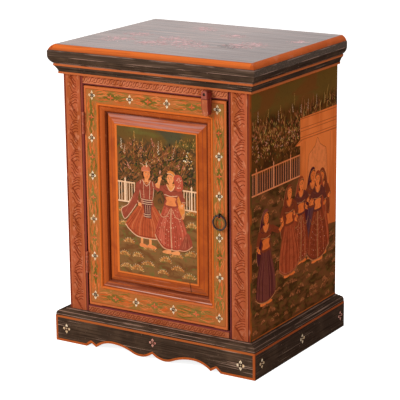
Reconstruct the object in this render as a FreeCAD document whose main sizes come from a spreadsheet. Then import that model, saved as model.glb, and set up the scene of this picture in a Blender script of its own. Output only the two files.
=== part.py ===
"""Painted bedside cabinet with one door: a boarded case on a scalloped plinth under a moulded top.

Millimetres. +Z is up, the door faces -Y, and the origin lies on the floor at the middle of the
whole footprint. Every length is a cell of the sheet, and each piece follows those cells.
"""
import FreeCAD, Part
import Sketcher
import os

# Driving sizes
SIZES = {
    # the whole cabinet
    "overall_height": 610, "case_width": 426, "case_depth": 349, "moulding_overhang": 21,
    # boards of the case
    "side_thickness": 16, "frame_thickness": 20, "stile_width": 48, "back_thickness": 6,
    "back_rebate_width": 8, "back_fit": 0.2, "back_foot": 15, "floor_thickness": 16,
    "shelf_thickness": 14, "shelf_height": 300, "shelf_setback": 34, "shelf_fit": 0.3,
    "cleat_width": 14, "cleat_height": 18, "cleat_end": 12, "rail_foot": 27,
    # the opening that the door fills
    "top_rail_reveal": 18, "foot_rail_reveal": 14, "rail_arris_width": 2,
    # moulded front stile, measured from the opening outwards
    "arris_width": 5, "arris_depth": 4, "arris_swell": 1.1, "quirk_width": 1.2, "quirk_depth": 0.9,
    "inner_border": 3.5, "outer_border": 3.5, "carved_depth": 1.2, "carved_slope_width": 0.6,
    # top board and its worked edge
    "top_thickness": 24, "top_round_width": 11, "top_round_height": 12, "top_round_swell": 2,
    "top_ledge": 1,
    # cornice moulding under the top, from the top board down
    "ovolo_width": 9, "ovolo_height": 14, "ovolo_swell": 1.8, "bead_height": 5, "bead_swell": 1.1,
    "splay_width": 6.4, "splay_height": 11.5, "splay_hollow": 0.7, "fillet_height": 4.5,
    "fillet_swell": 0.7,
    # plinth and the moulding that caps it
    "plinth_height": 54, "cap_height": 13, "cap_fall": 1.5, "cap_round_width": 6.5,
    "cap_round_height": 7.5, "cap_round_swell": 1.8, "reed_width": 1.4, "reed_depth": 0.8,
    "cap_lip": 0.8, "cusp_height": 11.6, "lobe_height": 5.8, "arch_height": 15.4, "tip_height": 1,
    "notch_height": 8.8, "lobe_swell": 7.2, "long_arch_swell": 2.45, "short_arch_swell": 3.7,
    # door
    "hinge_gap": 1.5, "latch_gap": 3, "head_gap": 2, "foot_gap": 2, "stop_gap": 0.3,
    "door_band": 30, "door_head_band": 32, "door_foot_band": 38,
    "panel_moulding_width": 18, "panel_moulding_depth": 10, "panel_bead_width": 4,
    "panel_bead_swell": 1.3, "panel_quirk_width": 0.8, "panel_quirk_depth": 1.4,
    "panel_slope_depth": 7.2, "panel_slope_swell": 1.5, "panel_flat": 2,
    "groove_depth": 8, "groove_width": 5, "panel_fit": 0.2, "bevel_width": 20,
    "bevel_height": 3.4, "field_step": 1.6, "door_edge_radius": 1.5,
    # door stop behind the latch stile
    "stop_width": 24, "stop_thickness": 12, "stop_lap": 5,
    # butt hinges
    "hinge_height": 42, "lower_hinge_height": 90, "upper_hinge_drop": 77, "leaf_thickness": 1.4,
    "leaf_parting": 0.15, "leaf_depth": 17, "knuckle_radius": 2.8, "knuckle_stand": 0.1,
    "knuckle_gap": 0.3, "hinge_pin_radius": 1.4, "pin_fit": 0.02, "pin_running_fit": 0.06,
    "pin_head": 1.2, "leaf_mortise_fit": 0.1, "hinge_screw_radius": 1.2, "hinge_screw_head_radius": 2.4,
    "hinge_screw_length": 12, "hinge_screw_setback": 6.5, "screw_fit": 0.05, "hinge_screw_margin": 8,
    # turn button
    "button_inset": 41.5, "button_nail_height": 10.2, "button_width": 15.2, "button_thickness": 16,
    "button_head": 7.4, "button_length": 50.2, "button_gap": 0.8, "button_side_taper": 1,
    "button_tip_rise": 6, "button_soft_edge": 3.2, "button_soft_swell": 0.9, "button_dome": 3.4,
    "button_dome_swell": 0.9, "button_scoop_start": 8.6, "button_scoop_step": 1.5,
    "button_scoop_depth": 6.6, "button_scoop_swell": 1.6, "button_screw_radius": 1.75,
    "button_running_fit": 0.09, "button_screw_head_radius": 2.6, "button_screw_head": 1.6,
    "button_sink": 4.4, "button_sink_clearance": 0.3, "button_screw_bite": 14,
    # ring pull and its screw eye
    "ring_inset": 14, "ring_pivot_height": 311, "ring_radius": 14, "ring_wire_radius": 1.9,
    "eye_stand": 5.5, "eye_radius": 3.5, "eye_wire_radius": 1.15, "eye_shank_radius": 1.5,
    "eye_tail": 2.2, "eye_washer_radius": 4.5, "eye_washer_thickness": 1.2,
    # cutting
    "cut_overrun": 2,
}

# Places along the scalloped front, as shares of half its width, from the middle outwards
SCALLOP_SHARES = {"lobe": 0.209, "arch": 0.406, "tip": 0.577, "notch": 0.630, "foot": 0.675}

doc = FreeCAD.newDocument("BedsideCabinet")
sheet = doc.addObject("Spreadsheet::Sheet", "Sizes")


class Size:
    """A length that carries its number and the way the sheet spells it."""

    def __init__(self, value, text):
        self.value, self.text = float(value), text

    def _with(self, other, sign, value):
        return Size(value, f"({self.text} {sign} {spelled(other)})")

    def __add__(self, other):
        return self._with(other, "+", self.value + number(other))

    def __sub__(self, other):
        return self._with(other, "-", self.value - number(other))

    def __mul__(self, other):
        return self._with(other, "*", self.value * number(other))

    def __truediv__(self, other):
        return self._with(other, "/", self.value / number(other))

    def __neg__(self):
        return Size(-self.value, f"(-1 * {self.text})")

    __radd__ = __add__
    __rmul__ = __mul__


def number(x):
    return x.value if isinstance(x, Size) else float(x)


def spelled(x):
    return x.text if isinstance(x, Size) else repr(float(x))


def fill_sheet():
    """Writes each driving size to its own row and gives its cell the size's name."""
    named = {}
    for row, (name, value) in enumerate(SIZES.items(), start=1):
        sheet.set(f"A{row}", name)
        sheet.set(f"B{row}", str(value))
        sheet.setAlias(f"B{row}", name)
        named[name] = Size(value, f"Sizes.{name}")
    doc.recompute()
    return type("Named", (), named)


s = fill_sheet()
NOTHING = Size(0, "0")
SIDES = (("left", -1), ("right", 1))

# Places that several pieces share
half_case = s.case_width / 2
front = (s.moulding_overhang - s.case_depth) / 2
back = (s.moulding_overhang + s.case_depth) / 2
inner_half = half_case - s.side_thickness
frame_back = front + s.frame_thickness
back_front = back - s.back_thickness
top_foot = s.overall_height - s.top_thickness
cornice_height = s.ovolo_height + s.bead_height + s.splay_height + s.fillet_height
cornice_foot = top_foot - cornice_height
cap_top = s.plinth_height + s.cap_height
opening_half = half_case - s.stile_width
opening_foot = cap_top + s.foot_rail_reveal
opening_head = cornice_foot - s.top_rail_reveal
door_left = s.hinge_gap - opening_half
door_right = opening_half - s.latch_gap
door_foot = opening_foot + s.foot_gap
door_head = opening_head - s.head_gap
door_back = frame_back - s.stop_gap
band_left = door_left + s.door_band
band_right = door_right - s.door_band
band_foot = door_foot + s.door_foot_band
band_head = door_head - s.door_head_band
groove_front = front + s.panel_moulding_depth
groove_back = groove_front + s.groove_width
pin_x = door_left - s.hinge_gap / 2
pin_y = front - s.knuckle_radius - s.knuckle_stand
button_x = opening_half - s.button_inset
button_height = opening_head + s.button_nail_height
ring_x = door_right - s.ring_inset
over = s.cut_overrun

kept = {}


def keep(piece, label):
    """Names a finished piece and puts it on the list of pieces that are written out."""
    piece.Label = label
    kept[label] = piece
    return piece


def bind(piece, **values):
    """Ties properties of an object to the sheet."""
    for prop, value in values.items():
        piece.setExpression(prop, spelled(value))


def stand(piece, x, y, z, axis=None, angle=0):
    """Places an object: its turn first, then each coordinate tied to the sheet."""
    turn = FreeCAD.Rotation(FreeCAD.Vector(*(axis or (0, 0, 1))), angle)
    piece.Placement = FreeCAD.Placement(FreeCAD.Vector(number(x), number(y), number(z)), turn)
    for letter, value in (("x", x), ("y", y), ("z", z)):
        piece.setExpression(f"Placement.Base.{letter}", spelled(value))
    return piece


def board(label, low, high):
    """A plain board between two opposite corners."""
    piece = doc.addObject("Part::Box", label)
    bind(piece, Length=high[0] - low[0], Width=high[1] - low[1], Height=high[2] - low[2])
    return stand(piece, *low)


def rod(label, radius, length, x, y, z, axis=None, angle=0):
    piece = doc.addObject("Part::Cylinder", label)
    bind(piece, Radius=radius, Height=length)
    return stand(piece, x, y, z, axis, angle)


def joined(label, pieces):
    piece = doc.addObject("Part::MultiFuse", label)
    piece.Shapes = pieces
    return piece


def group(label, pieces):
    piece = doc.addObject("Part::Compound", label)
    piece.Links = pieces
    return piece


def cut(label, base, tools):
    """Takes every tool out of the base, and checks that wood went."""
    piece = doc.addObject("Part::Cut", label)
    piece.Base = base
    piece.Tool = tools[0] if len(tools) == 1 else group(f"{label}_tools", tools)
    doc.recompute()
    if not piece.Shape.Volume < base.Shape.Volume:
        raise RuntimeError(f"{label}: the cut took nothing away")
    return piece


def new_body(label):
    return doc.addObject("PartDesign::Body", label)


def sketch(body, plane, at, points=(), circles=()):
    """A sketch on one of the body's own planes, moved along its normal.

    Points are (a, b) or (a, b, swell), where swell bows the run to the next point outwards,
    or inwards when it is negative. Circles are (a, b, radius). All of it is tied to the sheet.
    """
    role = {"top": "XY_Plane", "front": "XZ_Plane", "side": "YZ_Plane"}[plane]
    drawn = body.newObject("Sketcher::SketchObject", f"{body.Name}_outline")
    origin_plane = next(f for f in body.Origin.OriginFeatures if f.Role == role)
    drawn.AttachmentSupport = [(origin_plane, "")]
    drawn.MapMode = "FlatFace"
    normal = -1 if plane == "front" else 1
    drawn.setExpression("AttachmentOffset.Base.z", spelled(normal * at))
    places = [FreeCAD.Vector(number(p[0]), number(p[1]), 0) for p in points]
    following = places[1:] + places[:1]
    area = sum(a.x * b.y - b.x * a.y for a, b in zip(places, following))
    outward = 1 if area > 0 else -1
    ends = []
    for i, (start, end) in enumerate(zip(places, following)):
        swell = points[i][2] if len(points[i]) == 3 else None
        if swell is None:
            edge = drawn.addGeometry(Part.LineSegment(start, end), False)
        else:
            run = end - start
            side = FreeCAD.Vector(run.y, -run.x, 0).normalize() * outward
            middle = (start + end) * 0.5 + side * number(swell)
            edge = drawn.addGeometry(Part.Arc(start, middle, end), False)
        gaps = [drawn.getPoint(edge, end_number).distanceToPoint(start) for end_number in (1, 2)]
        first = 1 + gaps.index(min(gaps))
        ends.append((edge, first, swell))
    for i, (edge, first, swell) in enumerate(ends):
        after, after_first, _ = ends[(i + 1) % len(ends)]
        drawn.addConstraint(Sketcher.Constraint("Coincident", edge, 3 - first, after, after_first))
        fix(drawn, "DistanceX", edge, first, points[i][0])
        fix(drawn, "DistanceY", edge, first, points[i][1])
        if swell is not None:
            goal = points[(i + 1) % len(points)]
            across, up = goal[0] - points[i][0], goal[1] - points[i][1]
            bow = swell if number(swell) > 0 else -swell
            radius = (across * across + up * up) / (bow * 8) + bow / 2
            tie(drawn, radius, "Radius", edge)
    for a, b, radius in circles:
        centre = FreeCAD.Vector(number(a), number(b), 0)
        edge = drawn.addGeometry(Part.Circle(centre, FreeCAD.Vector(0, 0, 1), number(radius)), False)
        fix(drawn, "DistanceX", edge, 3, a)
        fix(drawn, "DistanceY", edge, 3, b)
        tie(drawn, radius, "Radius", edge)
    doc.recompute()
    return drawn


def fix(drawn, kind, edge, point, value):
    """Pins one coordinate of a point to the sheet."""
    tie(drawn, value, kind, -1, 1, edge, point)


def tie(drawn, value, *rule):
    """Adds a measured rule to a sketch and ties its measure to the sheet."""
    index = drawn.addConstraint(Sketcher.Constraint(*rule, number(value)))
    drawn.setExpression(f"Constraints[{index}]", spelled(value))


def pad(body, drawn, length, backwards=False):
    feature = body.newObject("PartDesign::Pad", f"{body.Name}_pad")
    feature.Profile = drawn
    feature.Reversed = backwards
    bind(feature, Length=length)
    doc.recompute()
    return feature


def pocket(body, drawn, length, backwards=False):
    """Cuts a sketch's outline out of the body, and checks that wood went."""
    before = body.Shape.Volume
    feature = body.newObject("PartDesign::Pocket", f"{body.Name}_pocket")
    feature.Profile = drawn
    feature.Reversed = backwards
    bind(feature, Length=length)
    doc.recompute()
    if not body.Shape.Volume < before:
        raise RuntimeError(f"{body.Name}: the pocket took nothing away")
    return feature


def prism(body, plane, start, length, points=(), circles=()):
    """A pad from start, to the side of greater X or Z, or towards the front on the front plane."""
    return pad(body, sketch(body, plane, start, points, circles), length)


def mitre(body, corners, top, height):
    """Saws the waste triangles off a moulding, seen from above."""
    for outline in corners:
        pocket(body, sketch(body, "top", top + over, outline), height + over * 2)


def front_mitre(side, reach):
    """The triangle behind the mitre line at one end of a front moulding."""
    outer, inner = side * (half_case + reach + over), side * (half_case - over)
    return [(outer, front - reach - over), (inner, front + over), (outer, front + over)]


def side_mitre(side, reach):
    """The triangle before the mitre line at the front end of a side moulding."""
    outer, inner = side * (half_case + reach + over), side * (half_case - over)
    return [(outer, front - reach - over), (inner, front + over), (inner, front - reach - over)]


def moulding_run(name, profile, foot, height):
    """Three mitred lengths of one moulding, planted on the front and both sides of the case.

    The profile is a list of (reach from the case, height, optional swell)."""
    reach = s.moulding_overhang
    body = new_body(f"{name}_front")
    points = [(front - p[0], *p[1:]) for p in profile]
    prism(body, "side", -(half_case + reach), (half_case + reach) * 2, points)
    mitre(body, [front_mitre(side, reach) for _, side in SIDES], foot + height, height)
    keep(body, f"{name}_front")
    for word, side in SIDES:
        body = new_body(f"{name}_{word}")
        points = [(side * (half_case + p[0]), *p[1:]) for p in profile]
        prism(body, "front", back, s.case_depth + reach, points)
        mitre(body, [side_mitre(side, reach)], foot + height, height)
        keep(body, f"{name}_{word}")


def top_board():
    """One wide board whose front and side edges are rounded above a square band."""
    reach = s.moulding_overhang
    flat = reach - s.top_ledge - s.top_round_width
    ledge_height = s.overall_height - s.top_round_height
    waste = [(flat, s.overall_height, -s.top_round_swell), (reach - s.top_ledge, ledge_height),
             (reach + over, ledge_height), (reach + over, s.overall_height + over),
             (flat, s.overall_height + over)]
    body = new_body("top_board")
    half = half_case + reach
    prism(body, "top", top_foot, s.top_thickness,
          [(-half, front - reach), (half, front - reach), (half, back), (-half, back)])
    points = [(front - p[0], *p[1:]) for p in waste]
    pocket(body, sketch(body, "side", -half - over, points), (half + over) * 2, True)
    for _, side in SIDES:
        points = [(side * (half_case + p[0]), *p[1:]) for p in waste]
        pocket(body, sketch(body, "front", back + over, points), s.case_depth + reach + over * 2, True)
    keep(body, "top_board")


def cornice():
    """Ovolo, bead, splayed hollow and fillet, stepping in from the top board to the case."""
    reach = s.moulding_overhang
    ovolo_foot = top_foot - s.ovolo_height
    bead_foot = ovolo_foot - s.bead_height
    splay_foot = bead_foot - s.splay_height
    bead_reach = reach - s.ovolo_width
    splay_reach = bead_reach - s.splay_width
    profile = [(NOTHING, cornice_foot), (splay_reach, cornice_foot, s.fillet_swell),
               (splay_reach, splay_foot, -s.splay_hollow), (bead_reach, bead_foot, s.bead_swell),
               (bead_reach, ovolo_foot, s.ovolo_swell), (reach, top_foot), (NOTHING, top_foot)]
    moulding_run("cornice", profile, cornice_foot, cornice_height)


def plinth_cap():
    """Low moulding on the plinth: a falling top with two reeds, then a rounded shoulder."""
    reach = s.moulding_overhang - s.cap_lip
    shoulder = reach - s.cap_round_width
    shoulder_top = s.plinth_height + (s.cap_height - s.cap_fall) - s.reed_depth
    lip_top = shoulder_top - s.cap_round_height
    reed = shoulder - s.reed_width * 4
    profile = [(NOTHING, s.plinth_height), (reach, s.plinth_height), (reach, lip_top, s.cap_round_swell),
               (shoulder, shoulder_top), (shoulder - s.reed_width, shoulder_top - s.reed_depth),
               (shoulder - s.reed_width * 2, shoulder_top + s.reed_depth),
               (reed, shoulder_top + s.reed_depth), (reed - s.reed_width, shoulder_top),
               (reed - s.reed_width * 2, cap_top - s.reed_depth), (NOTHING, cap_top)]
    moulding_run("plinth_cap", profile, s.plinth_height, s.cap_height)


def plinth():
    """Front board sawn to cusps, lobes and low arches between flat feet; plain side boards."""
    reach = s.moulding_overhang
    half = half_case + reach
    place = {name: half * share for name, share in SCALLOP_SHARES.items()}
    run = [(place["lobe"], s.lobe_height), (place["arch"], s.arch_height), (place["tip"], s.tip_height),
           (place["notch"], s.notch_height), (place["foot"], NOTHING), (half, NOTHING)]
    swells = [s.lobe_swell, -s.long_arch_swell, -s.short_arch_swell]
    right = [(x, z, swells[i + 1]) if i < 2 else (x, z) for i, (x, z) in enumerate(run)]
    left = [(-x, z, swells[i]) if i < 3 else (-x, z) for i, (x, z) in enumerate(run)]
    points = [(NOTHING, s.cusp_height, s.lobe_swell), *right, (half, s.plinth_height),
              (-half, s.plinth_height), *reversed(left)]
    body = new_body("plinth_front")
    prism(body, "front", front, reach, points)
    mitre(body, [front_mitre(side, reach) for _, side in SIDES], s.plinth_height, s.plinth_height)
    keep(body, "plinth_front")
    for word, side in SIDES:
        body = new_body(f"plinth_{word}")
        outer, inner = side * half, side * half_case
        prism(body, "front", back, s.case_depth + reach,
              [(inner, NOTHING), (outer, NOTHING), (outer, s.plinth_height), (inner, s.plinth_height)])
        mitre(body, [side_mitre(side, reach)], s.plinth_height, s.plinth_height)
        keep(body, f"plinth_{word}")


def case_boards():
    """Sides rebated for the back, the back, floor, shelf and the cleats that carry them."""
    rebate = inner_half + s.back_rebate_width
    for word, side in SIDES:
        body = new_body(f"side_panel_{word}")
        prism(body, "top", NOTHING, top_foot,
              [(side * inner_half, frame_back), (side * half_case, frame_back), (side * half_case, back),
               (side * rebate, back), (side * rebate, back_front), (side * inner_half, back_front)])
        keep(body, f"side_panel_{word}")
    half_back = rebate - s.back_fit
    keep(board("back_panel", (-half_back, back_front, s.back_foot), (half_back, back, top_foot)),
         "back_panel")
    floor_foot = opening_foot - s.floor_thickness
    keep(board("bottom_board", (-inner_half, frame_back, floor_foot),
               (inner_half, back_front, opening_foot)), "bottom_board")
    shelf_half = inner_half - s.shelf_fit
    shelf_front = frame_back + s.shelf_setback
    keep(board("shelf", (-shelf_half, shelf_front, s.shelf_height),
               (shelf_half, back_front - s.shelf_fit, s.shelf_height + s.shelf_thickness)), "shelf")
    for word, side in SIDES:
        edge = inner_half if side > 0 else s.cleat_width - inner_half
        for name, top in (("bottom", floor_foot), ("shelf", s.shelf_height), ("top", top_foot)):
            start = shelf_front if name == "shelf" else frame_back
            label = f"{name}_cleat_{word}"
            low = (edge - s.cleat_width, start + s.cleat_end, top - s.cleat_height)
            keep(board(label, low, (edge, back_front - s.cleat_end, top)), label)


def front_frame():
    """Two stiles with rounded arrises and a sunk band for carving, and two rails between them."""
    depths = {"face": front, "sunk": front + s.carved_depth, "quirk": front + s.quirk_depth,
              "arris": front + s.arris_depth}
    border = s.arris_width + s.quirk_width
    sunk_in = border + s.inner_border
    sunk_out = s.stile_width - border - s.outer_border
    half_quirk = s.quirk_width / 2
    across = [(NOTHING, frame_back), (NOTHING, depths["arris"], s.arris_swell),
              (s.arris_width, depths["face"]), (s.arris_width + half_quirk, depths["quirk"]),
              (border, depths["face"]), (sunk_in, depths["face"]),
              (sunk_in + s.carved_slope_width, depths["sunk"]),
              (sunk_out - s.carved_slope_width, depths["sunk"]), (sunk_out, depths["face"]),
              (s.stile_width - border, depths["face"]),
              (s.stile_width - border + half_quirk, depths["quirk"]),
              (s.stile_width - s.arris_width, depths["face"], s.arris_swell),
              (s.stile_width, depths["arris"]), (s.stile_width, frame_back)]
    stiles = {}
    for word, side in SIDES:
        body = new_body(f"front_stile_{word}_board")
        points = [(side * (opening_half + p[0]), *p[1:]) for p in across]
        prism(body, "top", NOTHING, top_foot, points)
        stiles[word] = body
    tools = [*leaf_mortises("case"), *screw_tools("case")]
    keep(cut("front_stile_left", stiles["left"], tools), "front_stile_left")
    keep(stiles["right"], "front_stile_right")
    body = new_body("top_rail_board")
    prism(body, "side", -opening_half, opening_half * 2,
          [(frame_back, opening_head), (front + s.rail_arris_width, opening_head),
           (front, opening_head + s.rail_arris_width), (front, top_foot), (frame_back, top_foot)])
    hole = rod("button_screw_hole", s.button_screw_radius + s.screw_fit, s.button_screw_bite + over,
               button_x, front - over, button_height, (1, 0, 0), -90)
    keep(cut("top_rail", body, [hole]), "top_rail")
    body = new_body("bottom_rail")
    prism(body, "side", -opening_half, opening_half * 2,
          [(front, s.rail_foot), (front, opening_foot - s.rail_arris_width),
           (front + s.rail_arris_width, opening_foot), (frame_back, opening_foot),
           (frame_back, s.rail_foot)])
    keep(body, "bottom_rail")
    stop_edge = opening_half - s.latch_gap - s.stop_lap
    keep(board("door_stop", (stop_edge, frame_back, opening_foot),
               (stop_edge + s.stop_width, frame_back + s.stop_thickness, opening_head)), "door_stop")


def door_frame():
    """Stiles and rails, grooved behind the planted mouldings to hold the panel's edge."""
    step = s.groove_depth
    lip = s.panel_moulding_width
    tools = {"left": [*leaf_mortises("door"), *screw_tools("door")],
             "right": [rod("eye_hole", s.eye_shank_radius + s.screw_fit, s.frame_thickness + over * 2,
                           ring_x, front - over, s.ring_pivot_height, (1, 0, 0), -90)]}
    for (word, side), edge, band in zip(SIDES, (door_left, door_right), (band_left, band_right)):
        body = new_body(f"door_stile_{word}_board")
        corner = edge - side * s.door_edge_radius
        prism(body, "top", door_foot, door_head - door_foot,
              [(edge, door_back), (edge, front + s.door_edge_radius), (corner, front), (band, front),
               (band, door_back)])
        prism(body, "top", band_foot + lip, band_head - band_foot - lip * 2,
              [(band, door_back), (band, groove_front), (band - side * step, groove_front),
               (band - side * step, groove_back), (band - side * lip, groove_back),
               (band - side * lip, door_back)])
        keep(cut(f"door_stile_{word}", body, tools[word]), f"door_stile_{word}")
    for word, band, edge, way in (("foot", band_foot, door_foot, 1), ("head", band_head, door_head, -1)):
        body = new_body(f"door_rail_{word}")
        corner = edge + way * s.door_edge_radius
        prism(body, "side", band_left, band_right - band_left,
              [(door_back, edge), (front + s.door_edge_radius, edge), (front, corner), (front, band),
               (groove_front, band), (groove_front, band + way * step), (groove_back, band + way * step),
               (groove_back, band + way * lip), (door_back, band + way * lip)])
        keep(body, f"door_rail_{word}")


def door_mouldings():
    """Bead, quirk and ovolo round the panel, in four lengths mitred at the corners."""
    width, depth = s.panel_moulding_width, front + s.panel_moulding_depth
    slope_start = s.panel_bead_width + s.panel_quirk_width
    slope_end = front + s.panel_slope_depth
    profile = [(NOTHING, depth), (NOTHING, front, s.panel_bead_swell), (s.panel_bead_width, front),
               (slope_start, front + s.panel_quirk_depth, s.panel_slope_swell),
               (width - s.panel_flat, slope_end), (width, slope_end), (width, depth)]
    room = width + over
    for (word, side), band in zip(SIDES, (band_left, band_right)):
        body = new_body(f"door_moulding_{word}")
        prism(body, "top", band_foot, band_head - band_foot,
              [(band - side * p[0], *p[1:]) for p in profile])
        for corner, way in ((band_foot, 1), (band_head, -1)):
            waste = [(band + side * over, corner - way * over), (band - side * room, corner + way * room),
                     (band - side * room, corner - way * over)]
            pocket(body, sketch(body, "front", depth + over, waste),
                   s.panel_moulding_depth + s.panel_bead_swell + over * 2, True)
        keep(body, f"door_moulding_{word}")
    for word, band, way in (("foot", band_foot, 1), ("head", band_head, -1)):
        body = new_body(f"door_moulding_{word}")
        prism(body, "side", band_left, band_right - band_left,
              [(p[1], band + way * p[0], *p[2:]) for p in profile])
        for corner, side in ((band_left, 1), (band_right, -1)):
            waste = [(corner - side * over, band - way * over), (corner + side * room, band + way * room),
                     (corner - side * over, band + way * room)]
            pocket(body, sketch(body, "front", depth + over, waste),
                   s.panel_moulding_depth + s.panel_bead_swell + over * 2, True)
        keep(body, f"door_moulding_{word}")


def rectangle(margin):
    """Corners of a rectangle that lies inside the door's band by a margin."""
    return [(band_left + margin, band_foot + margin), (band_right - margin, band_foot + margin),
            (band_right - margin, band_head - margin), (band_left + margin, band_head - margin)]


def door_panel():
    """Panel with a thin edge in the groove, a long bevel and a raised field."""
    body = new_body("door_panel")
    tongue_front = groove_front + s.panel_fit
    tongue_back = groove_back - s.panel_fit
    prism(body, "front", tongue_back, tongue_back - tongue_front, rectangle(s.groove_depth + s.panel_fit))
    bevel_top = tongue_front - s.bevel_height
    margin = s.panel_moulding_width
    wide = sketch(body, "front", tongue_front, rectangle(margin))
    narrow = sketch(body, "front", bevel_top, rectangle(margin + s.bevel_width))
    bevel = body.newObject("PartDesign::AdditiveLoft", "door_panel_bevel")
    bevel.Profile = wide
    bevel.Sections = [narrow]
    bevel.Ruled = True
    doc.recompute()
    prism(body, "front", bevel_top, s.field_step, rectangle(margin + s.bevel_width))
    keep(body, "door_panel")


def hinge_levels():
    return (("lower", opening_foot + s.lower_hinge_height), ("upper", opening_head - s.upper_hinge_drop))


def leaf_sides(owner):
    """The two faces of a leaf, measured from the pin, and the way its screws point."""
    way = -1 if owner == "case" else 1
    near = pin_x + way * s.leaf_parting
    return near, near + way * s.leaf_thickness, way


def leaf_mortises(owner):
    """Shallow recesses that let the leaves into the edge of the wood."""
    near, far, way = leaf_sides(owner)
    deep = far + way * s.leaf_mortise_fit
    low_x, high_x = (deep, near) if way < 0 else (near, deep)
    tools = []
    for level, height in hinge_levels():
        half = s.hinge_height / 2 + s.leaf_mortise_fit
        tools.append(board(f"{owner}_{level}_mortise", (low_x, front - s.knuckle_radius, height - half),
                           (high_x, pin_y + s.leaf_depth + s.leaf_mortise_fit, height + half)))
    return tools


def screw_places():
    for level, height in hinge_levels():
        for end, way in (("low", -1), ("high", 1)):
            yield f"{level}_{end}", height + way * (s.hinge_height / 2 - s.hinge_screw_margin)


def screw_tools(owner):
    """Pilot holes for the hinge screws."""
    near, far, way = leaf_sides(owner)
    y = pin_y + s.leaf_depth - s.hinge_screw_setback
    return [rod(f"{owner}_{place}_pilot", s.hinge_screw_radius + s.screw_fit,
                s.hinge_screw_length + s.screw_fit, near, y, z, (0, 1, 0), way * 90)
            for place, z in screw_places()]


def countersunk(label, radius, head_radius, length, depth, x, y, z, way):
    """A straight shank under a cone that is flush with the leaf."""
    head = doc.addObject("Part::Cone", f"{label}_head")
    bind(head, Radius1=head_radius, Radius2=radius, Height=depth)
    stand(head, x, y, z, (0, 1, 0), way * 90)
    return joined(label, [head, rod(f"{label}_shank", radius, length, x, y, z, (0, 1, 0), way * 90)])


def hinges():
    """Two butt hinges: leaves let into the wood, knuckles proud of the face, screws and pins."""
    segment = s.hinge_height / 3
    hole = {"case": s.hinge_pin_radius + s.pin_fit, "door": s.hinge_pin_radius + s.pin_running_fit}
    notch = pin_y + s.knuckle_radius + s.knuckle_gap
    root = pin_y + (s.hinge_pin_radius + s.knuckle_radius) / 2
    y = pin_y + s.leaf_depth - s.hinge_screw_setback
    for owner in ("case", "door"):
        near, far, way = leaf_sides(owner)
        for level, height in hinge_levels():
            foot, head = height - s.hinge_height / 2, height + s.hinge_height / 2
            low, high = height - segment / 2, height + segment / 2
            end = pin_y + s.leaf_depth
            if owner == "case":
                plate = [(root, foot), (end, foot), (end, head), (root, head),
                         (root, high + s.knuckle_gap / 2), (notch, high + s.knuckle_gap / 2),
                         (notch, low - s.knuckle_gap / 2), (root, low - s.knuckle_gap / 2)]
                knuckles = [(foot, low - s.knuckle_gap / 2), (high + s.knuckle_gap / 2, head)]
            else:
                low, high = low + s.knuckle_gap / 2, high - s.knuckle_gap / 2
                plate = [(notch, foot), (end, foot), (end, head), (notch, head), (notch, high), (root, high),
                         (root, low), (notch, low)]
                knuckles = [(low, high)]
            label = f"hinge_{level}_{owner}_leaf"
            body = new_body(f"{label}_plate")
            prism(body, "side", near if way > 0 else far, s.leaf_thickness, plate)
            for bottom, top in knuckles:
                prism(body, "top", bottom, top - bottom,
                      circles=[(pin_x, pin_y, s.knuckle_radius), (pin_x, pin_y, hole[owner])])
            sinks = []
            for place, z in screw_places():
                if place.startswith(level):
                    sinks.append(countersunk(f"{label}_{place}_sink", s.hinge_screw_radius + s.screw_fit,
                                             s.hinge_screw_head_radius + s.screw_fit,
                                             s.leaf_thickness + over, s.leaf_thickness, near, y, z, way))
            keep(cut(label, body, sinks), label)
        screws = [countersunk(f"{owner}_{place}_screw", s.hinge_screw_radius, s.hinge_screw_head_radius,
                              s.hinge_screw_length, s.leaf_thickness, near, y, z, way)
                  for place, z in screw_places()]
        keep(group(f"hinge_screws_{owner}", screws), f"hinge_screws_{owner}")
    for level, height in hinge_levels():
        foot = height - s.hinge_height / 2
        label = f"hinge_{level}_pin"
        shank = rod(f"{label}_shank", s.hinge_pin_radius, s.hinge_height, pin_x, pin_y, foot)
        cap = rod(f"{label}_head", s.knuckle_radius, s.pin_head, pin_x, pin_y, foot + s.hinge_height)
        keep(joined(label, [shank, cap]), label)


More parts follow.
